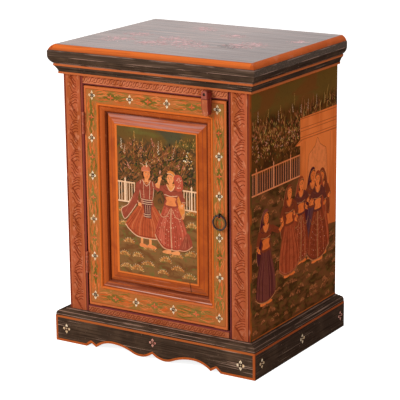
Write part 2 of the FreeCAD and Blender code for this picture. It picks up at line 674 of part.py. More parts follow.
def turn_button():
    """Carved wooden button: a round domed head, softened edges, a stepped scoop and a round tip."""
    body = new_body("turn_button")
    rest = front - s.button_gap
    face = rest - s.button_thickness
    x, half = button_x, s.button_width / 2
    tip_half = half - s.button_side_taper
    head = button_height + s.button_head
    foot = head - s.button_length
    tip_top = foot + s.button_tip_rise
    prism(body, "front", rest, s.button_thickness,
          [(x - tip_half, tip_top, s.button_tip_rise), (x + tip_half, tip_top),
           (x + half, button_height, s.button_head), (x - half, button_height)])
    for side in (-1, 1):
        edge = x + side * half
        waste = [(edge, face + s.button_soft_edge, -s.button_soft_swell),
                 (edge - side * s.button_soft_edge, face),
                 (edge - side * s.button_soft_edge, face - over), (edge + side * over, face - over),
                 (edge + side * over, face + s.button_soft_edge)]
        pocket(body, sketch(body, "top", foot - over, waste), s.button_length + over * 2, True)
    dome = [(face, head - s.button_dome, -s.button_dome_swell), (face + s.button_dome, head),
            (face + s.button_dome, head + over), (face - over, head + over),
            (face - over, head - s.button_dome)]
    pocket(body, sketch(body, "side", x - half - over, dome), s.button_width + over * 2, True)
    scoop_top = button_height - s.button_scoop_start
    waste = [(face + s.button_scoop_step, scoop_top, -s.button_scoop_swell),
             (face + s.button_scoop_depth, foot - over), (face - over, foot - over),
             (face - over, scoop_top)]
    pocket(body, sketch(body, "side", x - half - over, waste), s.button_width + over * 2, True)
    bore_radius = s.button_screw_radius + s.button_running_fit
    bore = sketch(body, "front", rest + over, circles=[(x, button_height, bore_radius)])
    pocket(body, bore, s.button_thickness + over * 2, True)
    sink_radius = s.button_screw_head_radius + s.button_sink_clearance
    sink = sketch(body, "front", face + s.button_sink, circles=[(x, button_height, sink_radius)])
    pocket(body, sink, s.button_sink + over, True)
    keep(body, "turn_button")
    seat = face + s.button_sink - s.button_gap / 2
    shank = rod("button_screw_shank", s.button_screw_radius, front + s.button_screw_bite - seat,
                x, seat, button_height, (1, 0, 0), -90)
    cap = rod("button_screw_cap", s.button_screw_head_radius, s.button_screw_head,
              x, seat - s.button_screw_head, button_height, (1, 0, 0), -90)
    keep(joined("button_screw", [shank, cap]), "button_screw")


def ring_pull():
    """Iron ring hanging in a screw eye that is clenched over a washer behind the door."""
    pivot_y = front - s.eye_stand
    ring = doc.addObject("Part::Torus", "ring_pull")
    bind(ring, Radius1=s.ring_radius, Radius2=s.ring_wire_radius)
    keep(stand(ring, ring_x, pivot_y, s.ring_pivot_height - s.ring_radius, (1, 0, 0), 90), "ring_pull")
    loop = doc.addObject("Part::Torus", "ring_eye_loop")
    bind(loop, Radius1=s.eye_radius, Radius2=s.eye_wire_radius)
    stand(loop, ring_x, pivot_y, s.ring_pivot_height, (0, 1, 0), 90)
    start = pivot_y + s.eye_radius
    end = door_back + s.eye_tail
    shank = rod("ring_eye_shank", s.eye_shank_radius, end - start, ring_x, start, s.ring_pivot_height,
                (1, 0, 0), -90)
    keep(joined("ring_eye", [loop, shank]), "ring_eye")
    disc = rod("eye_washer_disc", s.eye_washer_radius, s.eye_washer_thickness, ring_x, door_back,
               s.ring_pivot_height, (1, 0, 0), -90)
    bore = rod("eye_washer_bore", s.eye_shank_radius + s.screw_fit,
               s.eye_washer_thickness + over * 2, ring_x, door_back - over, s.ring_pivot_height,
               (1, 0, 0), -90)
    keep(cut("eye_washer", disc, [bore]), "eye_washer")


def check_and_write():
    """Stops on any failed object, then writes one file for each piece."""
    doc.recompute()
    failed = [o.Name for o in doc.Objects if "Invalid" in o.State or "Error" in o.State]
    if failed:
        raise RuntimeError(f"failed objects: {failed}")
    for label, piece in kept.items():
        if piece.Shape.isNull() or not piece.Shape.isValid() or not piece.Shape.Solids:
            raise RuntimeError(f"{label}: no valid solid")
    os.makedirs("parts", exist_ok=True)
    for label, piece in kept.items():
        piece.Shape.exportStep(os.path.join("parts", f"{label}.step"))
    print(len(kept), "pieces written")


top_board()
cornice()
plinth_cap()
plinth()
case_boards()
front_frame()
door_frame()
door_mouldings()
door_panel()
hinges()
turn_button()
ring_pull()
check_and_write()
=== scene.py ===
# %% [markdown]
# # A painted bedside cabinet
# The joiner's work is finished before this lesson starts: boards, mouldings, door and iron come
# from the packed frame and are never moved. What follows is the painter's and carver's work.
# Each cell does one job, in the order in which a workshop would do it.

# %% Load the joiner's work
import math
import random
import bpy
import numpy as np
from mathutils import Matrix, Vector


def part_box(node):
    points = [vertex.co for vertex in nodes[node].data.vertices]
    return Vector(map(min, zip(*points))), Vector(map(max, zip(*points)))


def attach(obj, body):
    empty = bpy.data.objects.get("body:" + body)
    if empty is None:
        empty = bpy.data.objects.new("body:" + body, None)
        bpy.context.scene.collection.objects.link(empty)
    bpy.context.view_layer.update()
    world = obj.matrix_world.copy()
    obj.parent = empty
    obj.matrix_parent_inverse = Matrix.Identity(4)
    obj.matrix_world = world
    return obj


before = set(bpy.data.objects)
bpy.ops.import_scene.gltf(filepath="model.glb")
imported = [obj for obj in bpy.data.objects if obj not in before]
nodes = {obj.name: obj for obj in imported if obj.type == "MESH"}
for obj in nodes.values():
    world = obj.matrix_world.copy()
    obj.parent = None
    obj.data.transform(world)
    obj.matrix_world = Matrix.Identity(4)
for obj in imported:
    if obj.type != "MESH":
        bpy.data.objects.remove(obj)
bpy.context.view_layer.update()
MM = 0.001

# %% [markdown]
# ## Places that the joiner set
# Paint follows the wood, so its places are read from the boards: how far the faces stand
# forward, where the door ends, and where the mouldings meet the picture. If a board changes,
# the lines painted along it go with it. All of them are in millimetres.

# %% Read the places of the boards
def end_of(board, axis, end):
    """Where a board ends along X, Y or Z: 0 is its low end and 1 its high end."""
    return round(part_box(board)[end]["xyz".index(axis)] / MM, 1)


def middle_of(board, axis):
    """The middle of a board along X, Y or Z."""
    low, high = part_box(board)
    return round((low + high)["xyz".index(axis)] / 2 / MM, 1)


def outline_of(upright, level, left, right, foot, head):
    """Four sides of a rectangle. Each is an end, 0 or 1, of the board named for that side."""
    return {"left": end_of(f"{upright}_left", "x", left), "right": end_of(f"{upright}_right", "x", right),
            "foot": end_of(f"{level}_foot", "z", foot), "head": end_of(f"{level}_head", "z", head)}


CASE_FACE, PANEL_FACE = end_of("top_rail", "y", 0), end_of("door_panel", "y", 0)
PLINTH_FACE, PLINTH_HEAD = end_of("plinth_front", "y", 0), end_of("plinth_front", "z", 1)
SIDE_FACE, PLINTH_SIDE = end_of("side_panel_right", "x", 1), end_of("plinth_right", "x", 1)
OPENING, CORNICE_FOOT = end_of("front_stile_right", "x", 0), end_of("cornice_front", "z", 0)
TOP_FACE, TOP_SIDE, TOP_FRONT = (end_of("top_board", "z", 1), end_of("top_board", "x", 1),
        end_of("top_board", "y", 0))
RAIL_FOOT, RAIL_HEAD = end_of("top_rail", "z", 0), end_of("bottom_rail", "z", 1)
DOOR = outline_of("door_stile", "door_rail", 0, 1, 0, 1)
BAND = outline_of("door_moulding", "door_moulding", 0, 1, 0, 1)
FIELD = outline_of("door_stile", "door_rail", 1, 0, 1, 0)
print("faces of case, panel and plinth:", CASE_FACE, PANEL_FACE, PLINTH_FACE, "door:", DOOR)

# %% [markdown]
# ## Camera
# The cabinet is seen from a little above and from its right front corner. A long lens keeps its
# upright edges nearly parallel, and a very small shift centres it in the picture. The view is
# written as a turn, a tilt and a distance, which is easier to change than raw coordinates.

# %% Set up the camera
def aim_camera(target, turn, tilt, roll, distance, lens, shift):
    """Places a camera round a target point, with its angles in degrees and lengths in metres."""
    turn, tilt, roll = (math.radians(v) for v in (turn, tilt, roll))
    away = Vector((math.sin(turn) * math.cos(tilt), -math.cos(turn) * math.cos(tilt), math.sin(tilt)))
    level = Vector((math.cos(turn), math.sin(turn), 0))
    upright = away.cross(level)
    right = math.cos(roll) * level + math.sin(roll) * upright
    up = -math.sin(roll) * level + math.cos(roll) * upright
    camera = bpy.data.objects.new("camera", bpy.data.cameras.new("camera"))
    bpy.context.scene.collection.objects.link(camera)
    camera.matrix_world = Matrix.Translation(target + away * distance) @ Matrix(
        (right, up, away)).transposed().to_4x4()
    camera.data.lens = lens
    camera.data.sensor_width = 36
    camera.data.shift_x, camera.data.shift_y = shift
    bpy.context.scene.camera = camera
    return camera


camera = aim_camera(target=Vector((0.9, 1.0, 288.7)) * MM, turn=31.92, tilt=14.85, roll=-0.62,
        distance=3.413, lens=152.1, shift=(-0.00175, -0.00725))
print("camera stands at", [round(v, 2) for v in camera.location])

# %% [markdown]
# ## Daylight and a white background
# Painted wood is best judged in even light, so a pale sky lights every side a little. The
# background is white only to the camera and in reflections. That way it adds no light to the
# colours, and the two jobs of the sky can be set apart with one mask.

# %% Build the sky
def worked_out(tree, kind, a, b):
    """A sum in a shader. Each side is a number or the output of another node."""
    node = tree.nodes.new("ShaderNodeMath")
    node.operation = kind
    for socket, value in zip(node.inputs, (a, b)):
        if isinstance(value, bpy.types.NodeSocket):
            tree.links.new(value, socket)
        else:
            socket.default_value = value
    return node.outputs[0]


def studio_world(strength):
    """A pale sky for the light, and plain white for what the camera and the gloss see."""
    world = bpy.data.worlds.new("studio")
    bpy.context.scene.world = world
    world.use_nodes = True
    tree = world.node_tree
    tree.nodes.clear()
    path = tree.nodes.new("ShaderNodeLightPath").outputs
    seen = worked_out(tree, "MAXIMUM", path["Is Camera Ray"], path["Is Glossy Ray"])
    through = worked_out(tree, "MAXIMUM", seen, path["Is Transmission Ray"])
    light, white = (tree.nodes.new("ShaderNodeBackground") for _ in range(2))
    light.inputs["Color"].default_value = (1.0, 0.98, 0.95, 1)
    light.inputs["Strength"].default_value = strength
    white.inputs["Color"].default_value = (1, 1, 1, 1)
    mix = tree.nodes.new("ShaderNodeMixShader")
    tree.links.new(through, mix.inputs[0])
    tree.links.new(light.outputs[0], mix.inputs[1])
    tree.links.new(white.outputs[0], mix.inputs[2])
    tree.links.new(mix.outputs[0], tree.nodes.new("ShaderNodeOutputWorld").inputs[0])


bpy.context.scene.view_settings.view_transform = "Standard"
studio_world(strength=0.4)
print("sky:", bpy.context.scene.world.name)

# %% [markdown]
# ## Lamps and floor
# One large lamp at the front left gives the door its brightness, and a weaker one from above
# wakes the gloss of the top. The floor is pale paper that keeps the shadow. A little glow, which
# only the camera and the gloss see, lifts it to nearly white.

# %% Hang the lamps and lay the floor
def soft_lamp(name, stand, size, energy, colour=(1, 1, 1)):
    """A square lamp that looks at the middle of the cabinet."""
    lamp = bpy.data.lights.new(name, "AREA")
    lamp.size, lamp.energy, lamp.color = size, energy, colour
    thing = bpy.data.objects.new(name, lamp)
    bpy.context.scene.collection.objects.link(thing)
    thing.location = stand
    target = Vector((0, 0, 0.3))
    thing.rotation_euler = (target - Vector(stand)).to_track_quat("-Z", "Y").to_euler()


def pale_floor(half_width, glow, under=0.0004):
    """A wide pale floor just under the plinth."""
    mesh = bpy.data.meshes.new("floor")
    corners = [(-1, -1), (1, -1), (1, 1), (-1, 1)]
    mesh.from_pydata([(x * half_width, y * half_width, -under) for x, y in corners], [], [(0, 1, 2, 3)])
    floor = bpy.data.objects.new("floor", mesh)
    bpy.context.scene.collection.objects.link(floor)
    paper = bpy.data.materials.new("pale_paper")
    paper.use_nodes = True
    tree = paper.node_tree
    skin = tree.nodes["Principled BSDF"]
    skin.inputs["Base Color"].default_value = (0.8, 0.79, 0.78, 1)
    skin.inputs["Roughness"].default_value = 0.9
    skin.inputs["Specular IOR Level"].default_value = 0.1
    path = tree.nodes.new("ShaderNodeLightPath").outputs
    seen = worked_out(tree, "MAXIMUM", path["Is Camera Ray"], path["Is Glossy Ray"])
    skin.inputs["Emission Color"].default_value = (1, 1, 1, 1)
    tree.links.new(worked_out(tree, "MULTIPLY", seen, glow), skin.inputs["Emission Strength"])
    mesh.materials.append(paper)


soft_lamp("front_lamp", stand=(-1.7, -2.6, 1.9), size=1.5, energy=66, colour=(1, 0.98, 0.95))
soft_lamp("top_lamp", stand=(0.2, 0.4, 2.6), size=1.6, energy=34)
pale_floor(half_width=30, glow=0.86)

# %% [markdown]
# ## A finish, coat by coat
# A painter lays a ground, then bands of colour, then glaze, and years of use rub some of it
# off. A shader can be built the same way: start with one colour and lay the next over it
# through a mask. The masks here are made of two things only, the place on the piece in metres
# and noise, so they stay with the piece when the door swings.

# %% A class that lays coats
def linear(code):
    """Turns a colour as a picture editor writes it into the linear numbers of a shader."""
    parts = [int(code[i:i + 2], 16) / 255 for i in (1, 3, 5)]
    return tuple(((p + 0.055) / 1.055) ** 2.4 if p > 0.04045 else p / 12.92 for p in parts) + (1.0,)


class Finish:
    """A material under the brush. Masks run from 0, bare, to 1, covered."""

    def __init__(self, name, ground):
        self.material = bpy.data.materials.new(name)
        self.material.use_nodes = True
        self.tree = self.material.node_tree
        self.skin = self.tree.nodes["Principled BSDF"]
        self.place = self.add("ShaderNodeTexCoord").outputs["Object"]
        apart = self.add("ShaderNodeSeparateXYZ", Vector=self.place)
        self.x, self.y, self.z = apart.outputs
        self.colour = linear(ground)

    def add(self, kind, settings=(), **inputs):
        """A node with some of its settings and inputs filled in."""
        node = self.tree.nodes.new(kind)
        for key, value in dict(settings).items():
            setattr(node, key, value)
        for key, value in inputs.items():
            self.put(node.inputs[key], value)
        return node

    def put(self, socket, value):
        """Joins a socket to another node, or sets it where the value is a plain one."""
        if isinstance(value, bpy.types.NodeSocket):
            self.tree.links.new(value, socket)
        else:
            socket.default_value = value

    def sum(self, kind, a, b=0.0):
        return worked_out(self.tree, kind, a, b)

    def both(self, a, b):
        """Covers only what both masks cover."""
        return self.sum("MULTIPLY", a, b)

    def noise(self, per_metre, detail=3, bend=0.0, shift=0.0):
        """Soft noise with so many spots to the metre, in all ways or along X, Y and Z."""
        if not isinstance(per_metre, tuple):
            per_metre = (per_metre,) * 3
        stretched = self.add("ShaderNodeMapping", Vector=self.place, Scale=per_metre,
                Location=(shift, shift, shift))
        return self.add("ShaderNodeTexNoise", Vector=stretched.outputs[0], Scale=1.0,
                Detail=float(detail), Distortion=bend).outputs["Fac"]

    def ramp(self, value, start, end, low=0.0, high=1.0):
        """Goes softly from low to high while the value goes from start to end."""
        node = self.add("ShaderNodeMapRange", {"interpolation_type": "SMOOTHSTEP"}, Value=value)
        for key, number in (("From Min", start), ("From Max", end), ("To Min", low), ("To Max", high)):
            self.put(node.inputs[key], number)
        return node.outputs[0]

    def spots(self, per_metre, start, end, detail=3, bend=0.0, shift=0.0):
        """Patches of noise. The farther the start and the end lie from 0.5, the fewer there are."""
        return self.ramp(self.noise(per_metre, detail, bend, shift), start, end)

    def past(self, value, start, end):
        """Covers everything beyond a place given in millimetres. Start is bare, end is covered."""
        return self.ramp(value, start * MM, end * MM)

    def before(self, value, start, end):
        """Covers everything up to a place given in millimetres."""
        return self.ramp(value, start * MM, end * MM, 1.0, 0.0)

    def between(self, value, low, high, soft=0.35):
        """Covers a stretch given in millimetres."""
        rise = self.past(value, low - soft, low + soft)
        fall = self.before(value, high - soft, high + soft)
        return self.both(rise, fall)

    def shaky(self, value, amount, per_metre=60):
        """A coordinate that wavers like a hand-drawn edge, by up to so many millimetres."""
        waver = self.sum("MULTIPLY", self.sum("SUBTRACT", self.noise(per_metre), 0.5), amount * 2 * MM)
        return self.sum("ADD", value, waver)

    def over(self, mask, colour, share=1.0):
        """Lays a colour over what is there, through a mask or where two masks meet."""
        if isinstance(mask, tuple):
            mask = self.both(*mask)
        if share != 1.0:
            mask = self.sum("MULTIPLY", mask, share)
        node = self.add("ShaderNodeMix", {"data_type": "RGBA"})
        self.put(node.inputs[0], mask)
        self.put(node.inputs[6], self.colour)
        self.put(node.inputs[7], linear(colour) if isinstance(colour, str) else colour)
        self.colour = node.outputs[2]

    def done(self, rough=0.5, varnish=0.0, height=None, bump=0.12, soft_edge=0.0, metal=0.0,
            varnish_rough=0.18, gloss=0.0):
        """Joins the last coat to the shader, with a varnish and a fine unevenness of the surface."""
        self.put(self.skin.inputs["Base Color"], self.colour)
        self.skin.inputs["Metallic"].default_value = metal
        self.put(self.skin.inputs["Specular IOR Level"], gloss)
        self.put(self.skin.inputs["Coat Weight"], varnish)
        self.skin.inputs["Coat Roughness"].default_value = varnish_rough
        uneven = self.noise(420, 2) if height is None else height
        self.put(self.skin.inputs["Roughness"], self.ramp(uneven, 0.25, 0.75, rough - 0.07, rough + 0.09))
        lift = self.add("ShaderNodeBump", Height=uneven, Strength=bump, Distance=0.0004)
        if soft_edge:
            edge = self.add("ShaderNodeBevel", {"samples": 4}, Radius=soft_edge * MM)
            self.put(lift.inputs["Normal"], edge.outputs[0])
        self.put(self.skin.inputs["Normal"], lift.outputs[0])
        return self.material


print("a finish can be", [word for word in vars(Finish) if not word.startswith("_")])

# %% [markdown]
# ## Dressing the boards
# The boards keep their meshes as the joiner made them. A finish goes on through the slots of
# their objects, so nothing in the frame changes. A few colours come back in many finishes.

# %% Put a finish on boards
def wear(node_names, material):
    """Gives boards of the frame their finish through the slots of their objects."""
    for name in node_names:
        thing = nodes[name]
        if not thing.data.materials:
            thing.data.materials.append(None)
        for slot in thing.material_slots:
            slot.link = "OBJECT"
            slot.material = material


ORANGE, SALMON, BROWN_RED = "#d0672c", "#c2673f", "#b4521c"
LACQUER, RUBBED_HIGHLIGHT, PLUM, MAROON = "#46362b", "#b8907e", "#7b3a38", "#8f3d2a"
WOOD_DARK, WOOD_LIGHT = "#5c3a22", "#8a5f3a"
print("orange as a shader sees it:", [round(v, 3) for v in linear(ORANGE)[:3]])

# %% [markdown]
# ## Bare wood
# Inside the cabinet, behind the door and on the back, the boards were never painted. The wood
# is a brown hardwood with fine straight grain. Grain is noise that has been stretched along
# the board until its spots become lines.

# %% Bare wood
def stretched_to(along, length, across):
    """Spots to the metre for noise drawn out along one axis: 0 for X, 1 for Y, 2 for Z."""
    return tuple(length if axis == along else across for axis in range(3))


def grain(finish, along, fine=900.0, long=14.0):
    """Fine lines along one axis."""
    return finish.noise(stretched_to(along, long, fine), 4, 0.4)


def wood_coats(finish, along, mask=1.0):
    """Lays bare wood over what is there. Its colour is a second small stack of coats."""
    lines = grain(finish, along, 420.0, 7.0)
    broad = finish.noise(stretched_to(along, 5.0, 46.0), 2, 0.8, 3.0)
    kept, finish.colour = finish.colour, linear(WOOD_LIGHT)
    finish.over(finish.ramp(broad, 0.35, 0.68), "#6e482b")
    finish.over(finish.ramp(lines, 0.5, 0.72), WOOD_DARK, 0.8)
    finish.over(finish.spots(30, 0.6, 0.8, 3, 0, 9.0), "#4a2e1c", 0.35)
    wood, finish.colour = finish.colour, kept
    finish.over(mask, wood)


def bare_wood(name, along):
    finish = Finish(name, WOOD_LIGHT)
    wood_coats(finish, along)
    return finish.done(0.62, 0.0, grain(finish, along), 0.3, 0.5)


wood_across, wood_deep, wood_up = (bare_wood(f"bare_wood_{word}", axis)
        for axis, word in enumerate(("across", "deep", "up")))
cleats = [f"{where}_cleat_{side}" for where in ("bottom", "shelf", "top") for side in ("left", "right")]
bare = {wood_across: ["bottom_board", "shelf"], wood_deep: cleats, wood_up: ["back_panel", "door_stop"]}
for material, boards in bare.items():
    wear(boards, material)
print("bare wood on", sum(map(len, bare.values())), "boards")

# %% [markdown]
# ## Black lacquer with orange lines
# The cornice and the plinth are brown-black. The lacquer was brushed along each length, so it is
# streaky that way, and dusters and hands have rubbed its sharp edges down to a greyish pink. Those
# pale lines along the arrises are also a painted highlight. The sides get a darker ground and
# fainter pale marks, which is partly painted shade. Orange lines follow the beads. They are bands
# of height with a wavering edge.

# %% Black lacquer
def lacquer_finish(name, along, lines, rubbed_highlight_lines=(), strips=None, line_colour="#c4683a"):
    """Lines and rubbed highlight lines are stretches of height in millimetres. The sides get a darker ground
    and fainter pale marks, partly painted shade.
    """
    front = along == 0
    # The sides are rubbed less, and their darker ground and fainter pale marks are also painted shade.
    rubbing_and_light = 0.9 if front else 0.4
    finish = Finish(name, LACQUER if front else "#3f2f26")
    streaks = grain(finish, along, 520.0, 10.0)
    long_streaks = finish.noise(stretched_to(along, 4.0, 240.0), 3, 0.2, 7.0)
    finish.over(finish.spots(24, 0.4, 0.72), "#67503f", 0.6 if front else 0.3)
    finish.over(finish.ramp(streaks, 0.46, 0.66), "#261a14", 0.65)
    finish.over(finish.ramp(long_streaks, 0.62, 0.72), "#8a6e5e", 0.35 if front else 0.2)
    scratched = finish.spots(stretched_to(along, 9.0, 40.0), 0.45, 0.6, 2, 0, 13.0)
    scratches = finish.ramp(grain(finish, along, 560.0, 7.0), 0.6, 0.66)
    finish.over((scratched, scratches), "#caa48e", rubbing_and_light * 0.85)
    for low, high in lines:
        finish.over(finish.between(finish.shaky(finish.z, 0.35), low, high), line_colour)
    if strips:
        strips(finish)
    patchy = finish.spots(stretched_to(along, 26.0, 90.0), 0.3, 0.5, 3, 0, 5.0)
    # The rubbed lines along the arrises are wear and a painted highlight.
    for low, high in rubbed_highlight_lines:
        band = finish.between(finish.shaky(finish.z, 0.4, 90), low, high, 0.3)
        finish.over((band, patchy), RUBBED_HIGHLIGHT, rubbing_and_light)
    finish.over(finish.spots(300, 0.7, 0.76, 2, 0, 2.0), "#b08c7c", 0.5)
    return finish.done(0.42, 0.0, streaks, 0.16, 0.7)


def heights(start, *stretches):
    """Stretches of height in millimetres over the foot of a moulding."""
    return [(start + low, start + high) for low, high in stretches]


AROUND = (("front", 0), ("left", 1), ("right", 1))
for side, along in AROUND:
    wear([f"cornice_{side}"], lacquer_finish(
        f"cornice_lacquer_{side}", along, heights(CORNICE_FOOT, (16.4, 20.6), (-1.0, 4.2)),
        heights(CORNICE_FOOT, (20.8, 22.0))))
    wear([f"plinth_cap_{side}"], lacquer_finish(
        f"cap_lacquer_{side}", along, [], heights(PLINTH_HEAD, (2.4, 3.3), (8.6, 9.2), (11.8, 12.4))))
print("lacquered mouldings:", 2 * len(AROUND))

# %% [markdown]
# ## The plinth's own lines
# The plinth has one orange line under its cap. Upright strips frame the ends of its front and
# the front ends of its sides. The sides lie in shade, so their lines are a browner orange.

# %% Plinth
def corner_strips(finish):
    """Upright orange strips beside the front corners."""
    wide = finish.sum("ABSOLUTE", finish.x)
    front_face = finish.between(finish.y, PLINTH_FACE - 5, PLINTH_FACE + 0.4, 0.1)
    end = finish.past(finish.shaky(wide, 0.4), PLINTH_SIDE - 5.3, PLINTH_SIDE - 4.5)
    finish.over((front_face, end), "#b4592c")
    side_face = finish.past(wide, PLINTH_SIDE - 0.3, PLINTH_SIDE - 0.1)
    edge = finish.between(finish.shaky(finish.y, 0.3), PLINTH_FACE - 5, PLINTH_FACE + 2)
    finish.over((side_face, edge), "#9c4a26")


for side, along in AROUND:
    wear([f"plinth_{side}"], lacquer_finish(
        f"plinth_lacquer_{side}", along, heights(PLINTH_HEAD, (-4.2, 0.3)), (), corner_strips,
        "#b8602f" if side == "front" else "#9c4a26"))
print("plinth lacquered below", PLINTH_HEAD, "mm")

# %% [markdown]
# ## The top
# The top is one wide board with a rounded orange edge over a black band. Its flat was painted
# nearly black, with a spread of red-pink sprays, and was rubbed back until only their ghosts
# are left. It is still varnished, so seen low it mirrors the pale room and looks grey. The
# varnish is duller towards the right, and the flat is painted darker there, a painted shade for
# the weaker reflection at that end.

# %% Top board
TOP_ROUND = 12.0


def top_flat(finish, streaks):
    """The rubbed lacquer of the flat."""
    finish.over(finish.spots((9, 24, 9), 0.38, 0.7, 4, 0.6), "#7a584c", 0.9)
    finish.over(finish.ramp(streaks, 0.48, 0.7), "#382720", 0.85)
    finish.over(finish.spots((5, 150, 5), 0.6, 0.75, 3, 0, 4.0), "#927468", 0.6)
    # Painted shade: the flat is darker towards the right.
    finish.over(finish.past(finish.x, 0.0, 190), "#3f2b27", 0.4)
    finish.over(finish.spots((3, 60, 3), 0.55, 0.7, 3, 0.3, 14.0), "#2c1d1a", 0.5)


def top_edge(finish, streaks, wide, past_flat, arris):
    """The rounded orange edge, painted darker low down as painted shade. The sides of the board are rubbed,
    and painted darker as painted shade.
    """
    finish.over(past_flat, ORANGE)
    finish.over((past_flat, arris), "#a05426", 0.75)
    finish.over((past_flat, finish.ramp(streaks, 0.5, 0.68)), "#a44a1e", 0.7)
    # The lower part of the rounded edge is painted darker: painted shade where it turns from the light.
    painted_shade_below = finish.past(finish.z, TOP_FACE - 4.5, TOP_FACE - 10)
    finish.over((past_flat, painted_shade_below), "#a24c1c", 0.75)
    rubbed = finish.spots(16, 0.42, 0.62, 4, 0.6, 12.0)
    sides_only = finish.past(wide, -0.1, 2)
    finish.over((sides_only, rubbed), "#9c4416", 0.75)
    finish.over((sides_only, past_flat), "#ac4a1a", 0.6)
    pale = finish.spots((30, 30, 90), 0.56, 0.66, 3, 0.3, 17.0)
    finish.over((sides_only, pale), "#bb8a76", 0.2)


def top_band(finish, streaks):
    """The black band under the edge, rubbed along its two arrises. Its pale lines there are wear and a
    painted highlight.
    """
    band = finish.before(finish.shaky(finish.z, 0.5, 90), TOP_FACE - 11, TOP_FACE - 10.3)
    finish.over(band, LACQUER)
    finish.over((band, finish.ramp(streaks, 0.52, 0.66)), "#7a6050", 0.7)
    patchy = finish.spots((22, 22, 90), 0.4, 0.6, 3, 0, 6.0)
    # Pale lines along the two arrises: wear and a painted highlight.
    for low, high, colour in ((-13.4, -11.8, "#a08074"), (-25, -22.8, RUBBED_HIGHLIGHT)):
        line = finish.between(finish.shaky(finish.z, 0.5), TOP_FACE + low, TOP_FACE + high)
        finish.over((line, patchy), colour, 0.6)


def top_finish():
    finish = Finish("top_lacquer_finish", "#66483f")
    streaks = grain(finish, 0, 480.0, 8.0)
    top_flat(finish, streaks)
    wide = finish.sum("SUBTRACT", finish.sum("ABSOLUTE", finish.x), (TOP_SIDE - TOP_ROUND) * MM)
    front = finish.sum("SUBTRACT", (TOP_FRONT + TOP_ROUND) * MM, finish.y)
    past_flat = finish.past(finish.shaky(finish.sum("MAXIMUM", wide, front), 0.4), -0.1, 0.5)
    arris = finish.past(finish.sum("MAXIMUM", wide, front), 3.4, 1.0)
    top_edge(finish, streaks, wide, past_flat, arris)
    top_band(finish, streaks)
    dull = finish.ramp(finish.noise((5, 120, 5), 4, 0.3, 9.0), 0.35, 0.65, 0.31, 0.44)
    hazy = finish.both(dull, finish.ramp(finish.x, 20 * MM, 215 * MM, 1.0, 0.66))
    varnish = finish.both(finish.ramp(past_flat, 0.2, 0.8, 1.0, 0.0), hazy)
    gloss = finish.ramp(past_flat, 0.2, 0.8, 0.25, 0.02)
    return finish.done(0.34, varnish, streaks, 0.14, 0.7, varnish_rough=0.12, gloss=gloss)


wear(["top_board"], top_finish())
print("top board painted, its flat", 2 * (TOP_SIDE - TOP_ROUND), "mm wide")

# %% [markdown]
# ## Stiles and rails of the case
# The moulded stiles are salmon, with a plum line along the opening and a maroon one along the
# outer corner. The masks are stretches of distance from the middle of the front. Behind the
# face and inside the opening the wood is bare again.

# %% Case front
BEHIND_THE_ARRIS = 6.0


def stile_ground(finish):
    """Salmon, streaked along the length."""
    finish.over(finish.spots((60, 60, 9), 0.35, 0.68, 4, 0.5), "#a9502f", 0.75)
    finish.over(finish.ramp(grain(finish, 2, 500.0, 9.0), 0.52, 0.72), "#d98256", 0.55)


def opening_lines(finish, shaky):
    """The plum line along the opening. It is redder beside the hinges, and low down it is painted dark:
    painted shade where the gap is wider.
    """
    finish.over(finish.between(shaky, OPENING - 5, OPENING + 5.4), PLUM)
    left_half = finish.past(finish.x, 1, -1)
    beside_hinges = finish.both(finish.between(shaky, OPENING + 1.2, OPENING + 5.4), left_half)
    finish.over(beside_hinges, "#98483a", 0.85)
    # Painted shade of the gap, darker towards the bottom.
    painted_shade_below = finish.past(finish.z, 420, 120)
    finish.over((finish.between(shaky, OPENING - 5, OPENING + 1.8), painted_shade_below), "#1e0b08", 0.9)
    finish.over(finish.between(shaky, OPENING + 5.2, OPENING + 6.3, 0.2), "#4a1d16")


def corner_lines(finish, shaky):
    """The maroon line and the worn orange arris of the outer corner."""
    for low, high, soft, colour in ((-6.1, -2.6, 0.25, MAROON), (-6.3, -5.0, 0.2, "#6d2c26"),
            (-2.6, 1.0, 0.25, "#a84e20")):
        finish.over(finish.between(shaky, SIDE_FACE + low, SIDE_FACE + high, soft), colour)
    worn = finish.spots((40, 40, 26), 0.42, 0.58, 3, 0.4, 9.0)
    arris = finish.between(shaky, SIDE_FACE - 1.6, SIDE_FACE + 1, 0.3)
    finish.over((arris, worn), "#5f4420")


def stile_finish():
    finish = Finish("carved_paint_stile", SALMON)
    wide = finish.sum("ABSOLUTE", finish.x)
    shaky = finish.shaky(wide, 0.35)
    stile_ground(finish)
    opening_lines(finish, shaky)
    corner_lines(finish, shaky)
    finish.over(finish.spots((90, 90, 30), 0.62, 0.74, 3, 0, 3.0), "#d58a6a", 0.45)
    behind = finish.past(finish.y, CASE_FACE + BEHIND_THE_ARRIS, CASE_FACE + BEHIND_THE_ARRIS + 1)
    hidden = finish.both(behind, finish.before(wide, SIDE_FACE - 0.4, SIDE_FACE - 0.2))
    wood_coats(finish, 2, hidden)
    return finish.done(0.5, 0.0, grain(finish, 2), 0.22, 0.8)


def rail_finish():
    finish = Finish("carved_paint_rail", "#bd654d")
    finish.over(finish.spots((9, 60, 60), 0.35, 0.68, 4, 0.5), "#a04a2c", 0.75)
    finish.over(finish.between(finish.shaky(finish.z, 0.3), RAIL_FOOT - 1, RAIL_FOOT + 2.6), PLUM)
    finish.over(finish.between(finish.shaky(finish.z, 0.3), RAIL_HEAD - 2.4, RAIL_HEAD + 1), PLUM)
    wood_coats(finish, 0, finish.past(finish.y, CASE_FACE + 4, CASE_FACE + 5))
    return finish.done(0.5, 0.0, grain(finish, 0), 0.22, 0.8)


wear(["front_stile_left", "front_stile_right"], stile_finish())
wear(["top_rail", "bottom_rail"], rail_finish())
print("case front painted round an opening", 2 * OPENING, "mm wide")

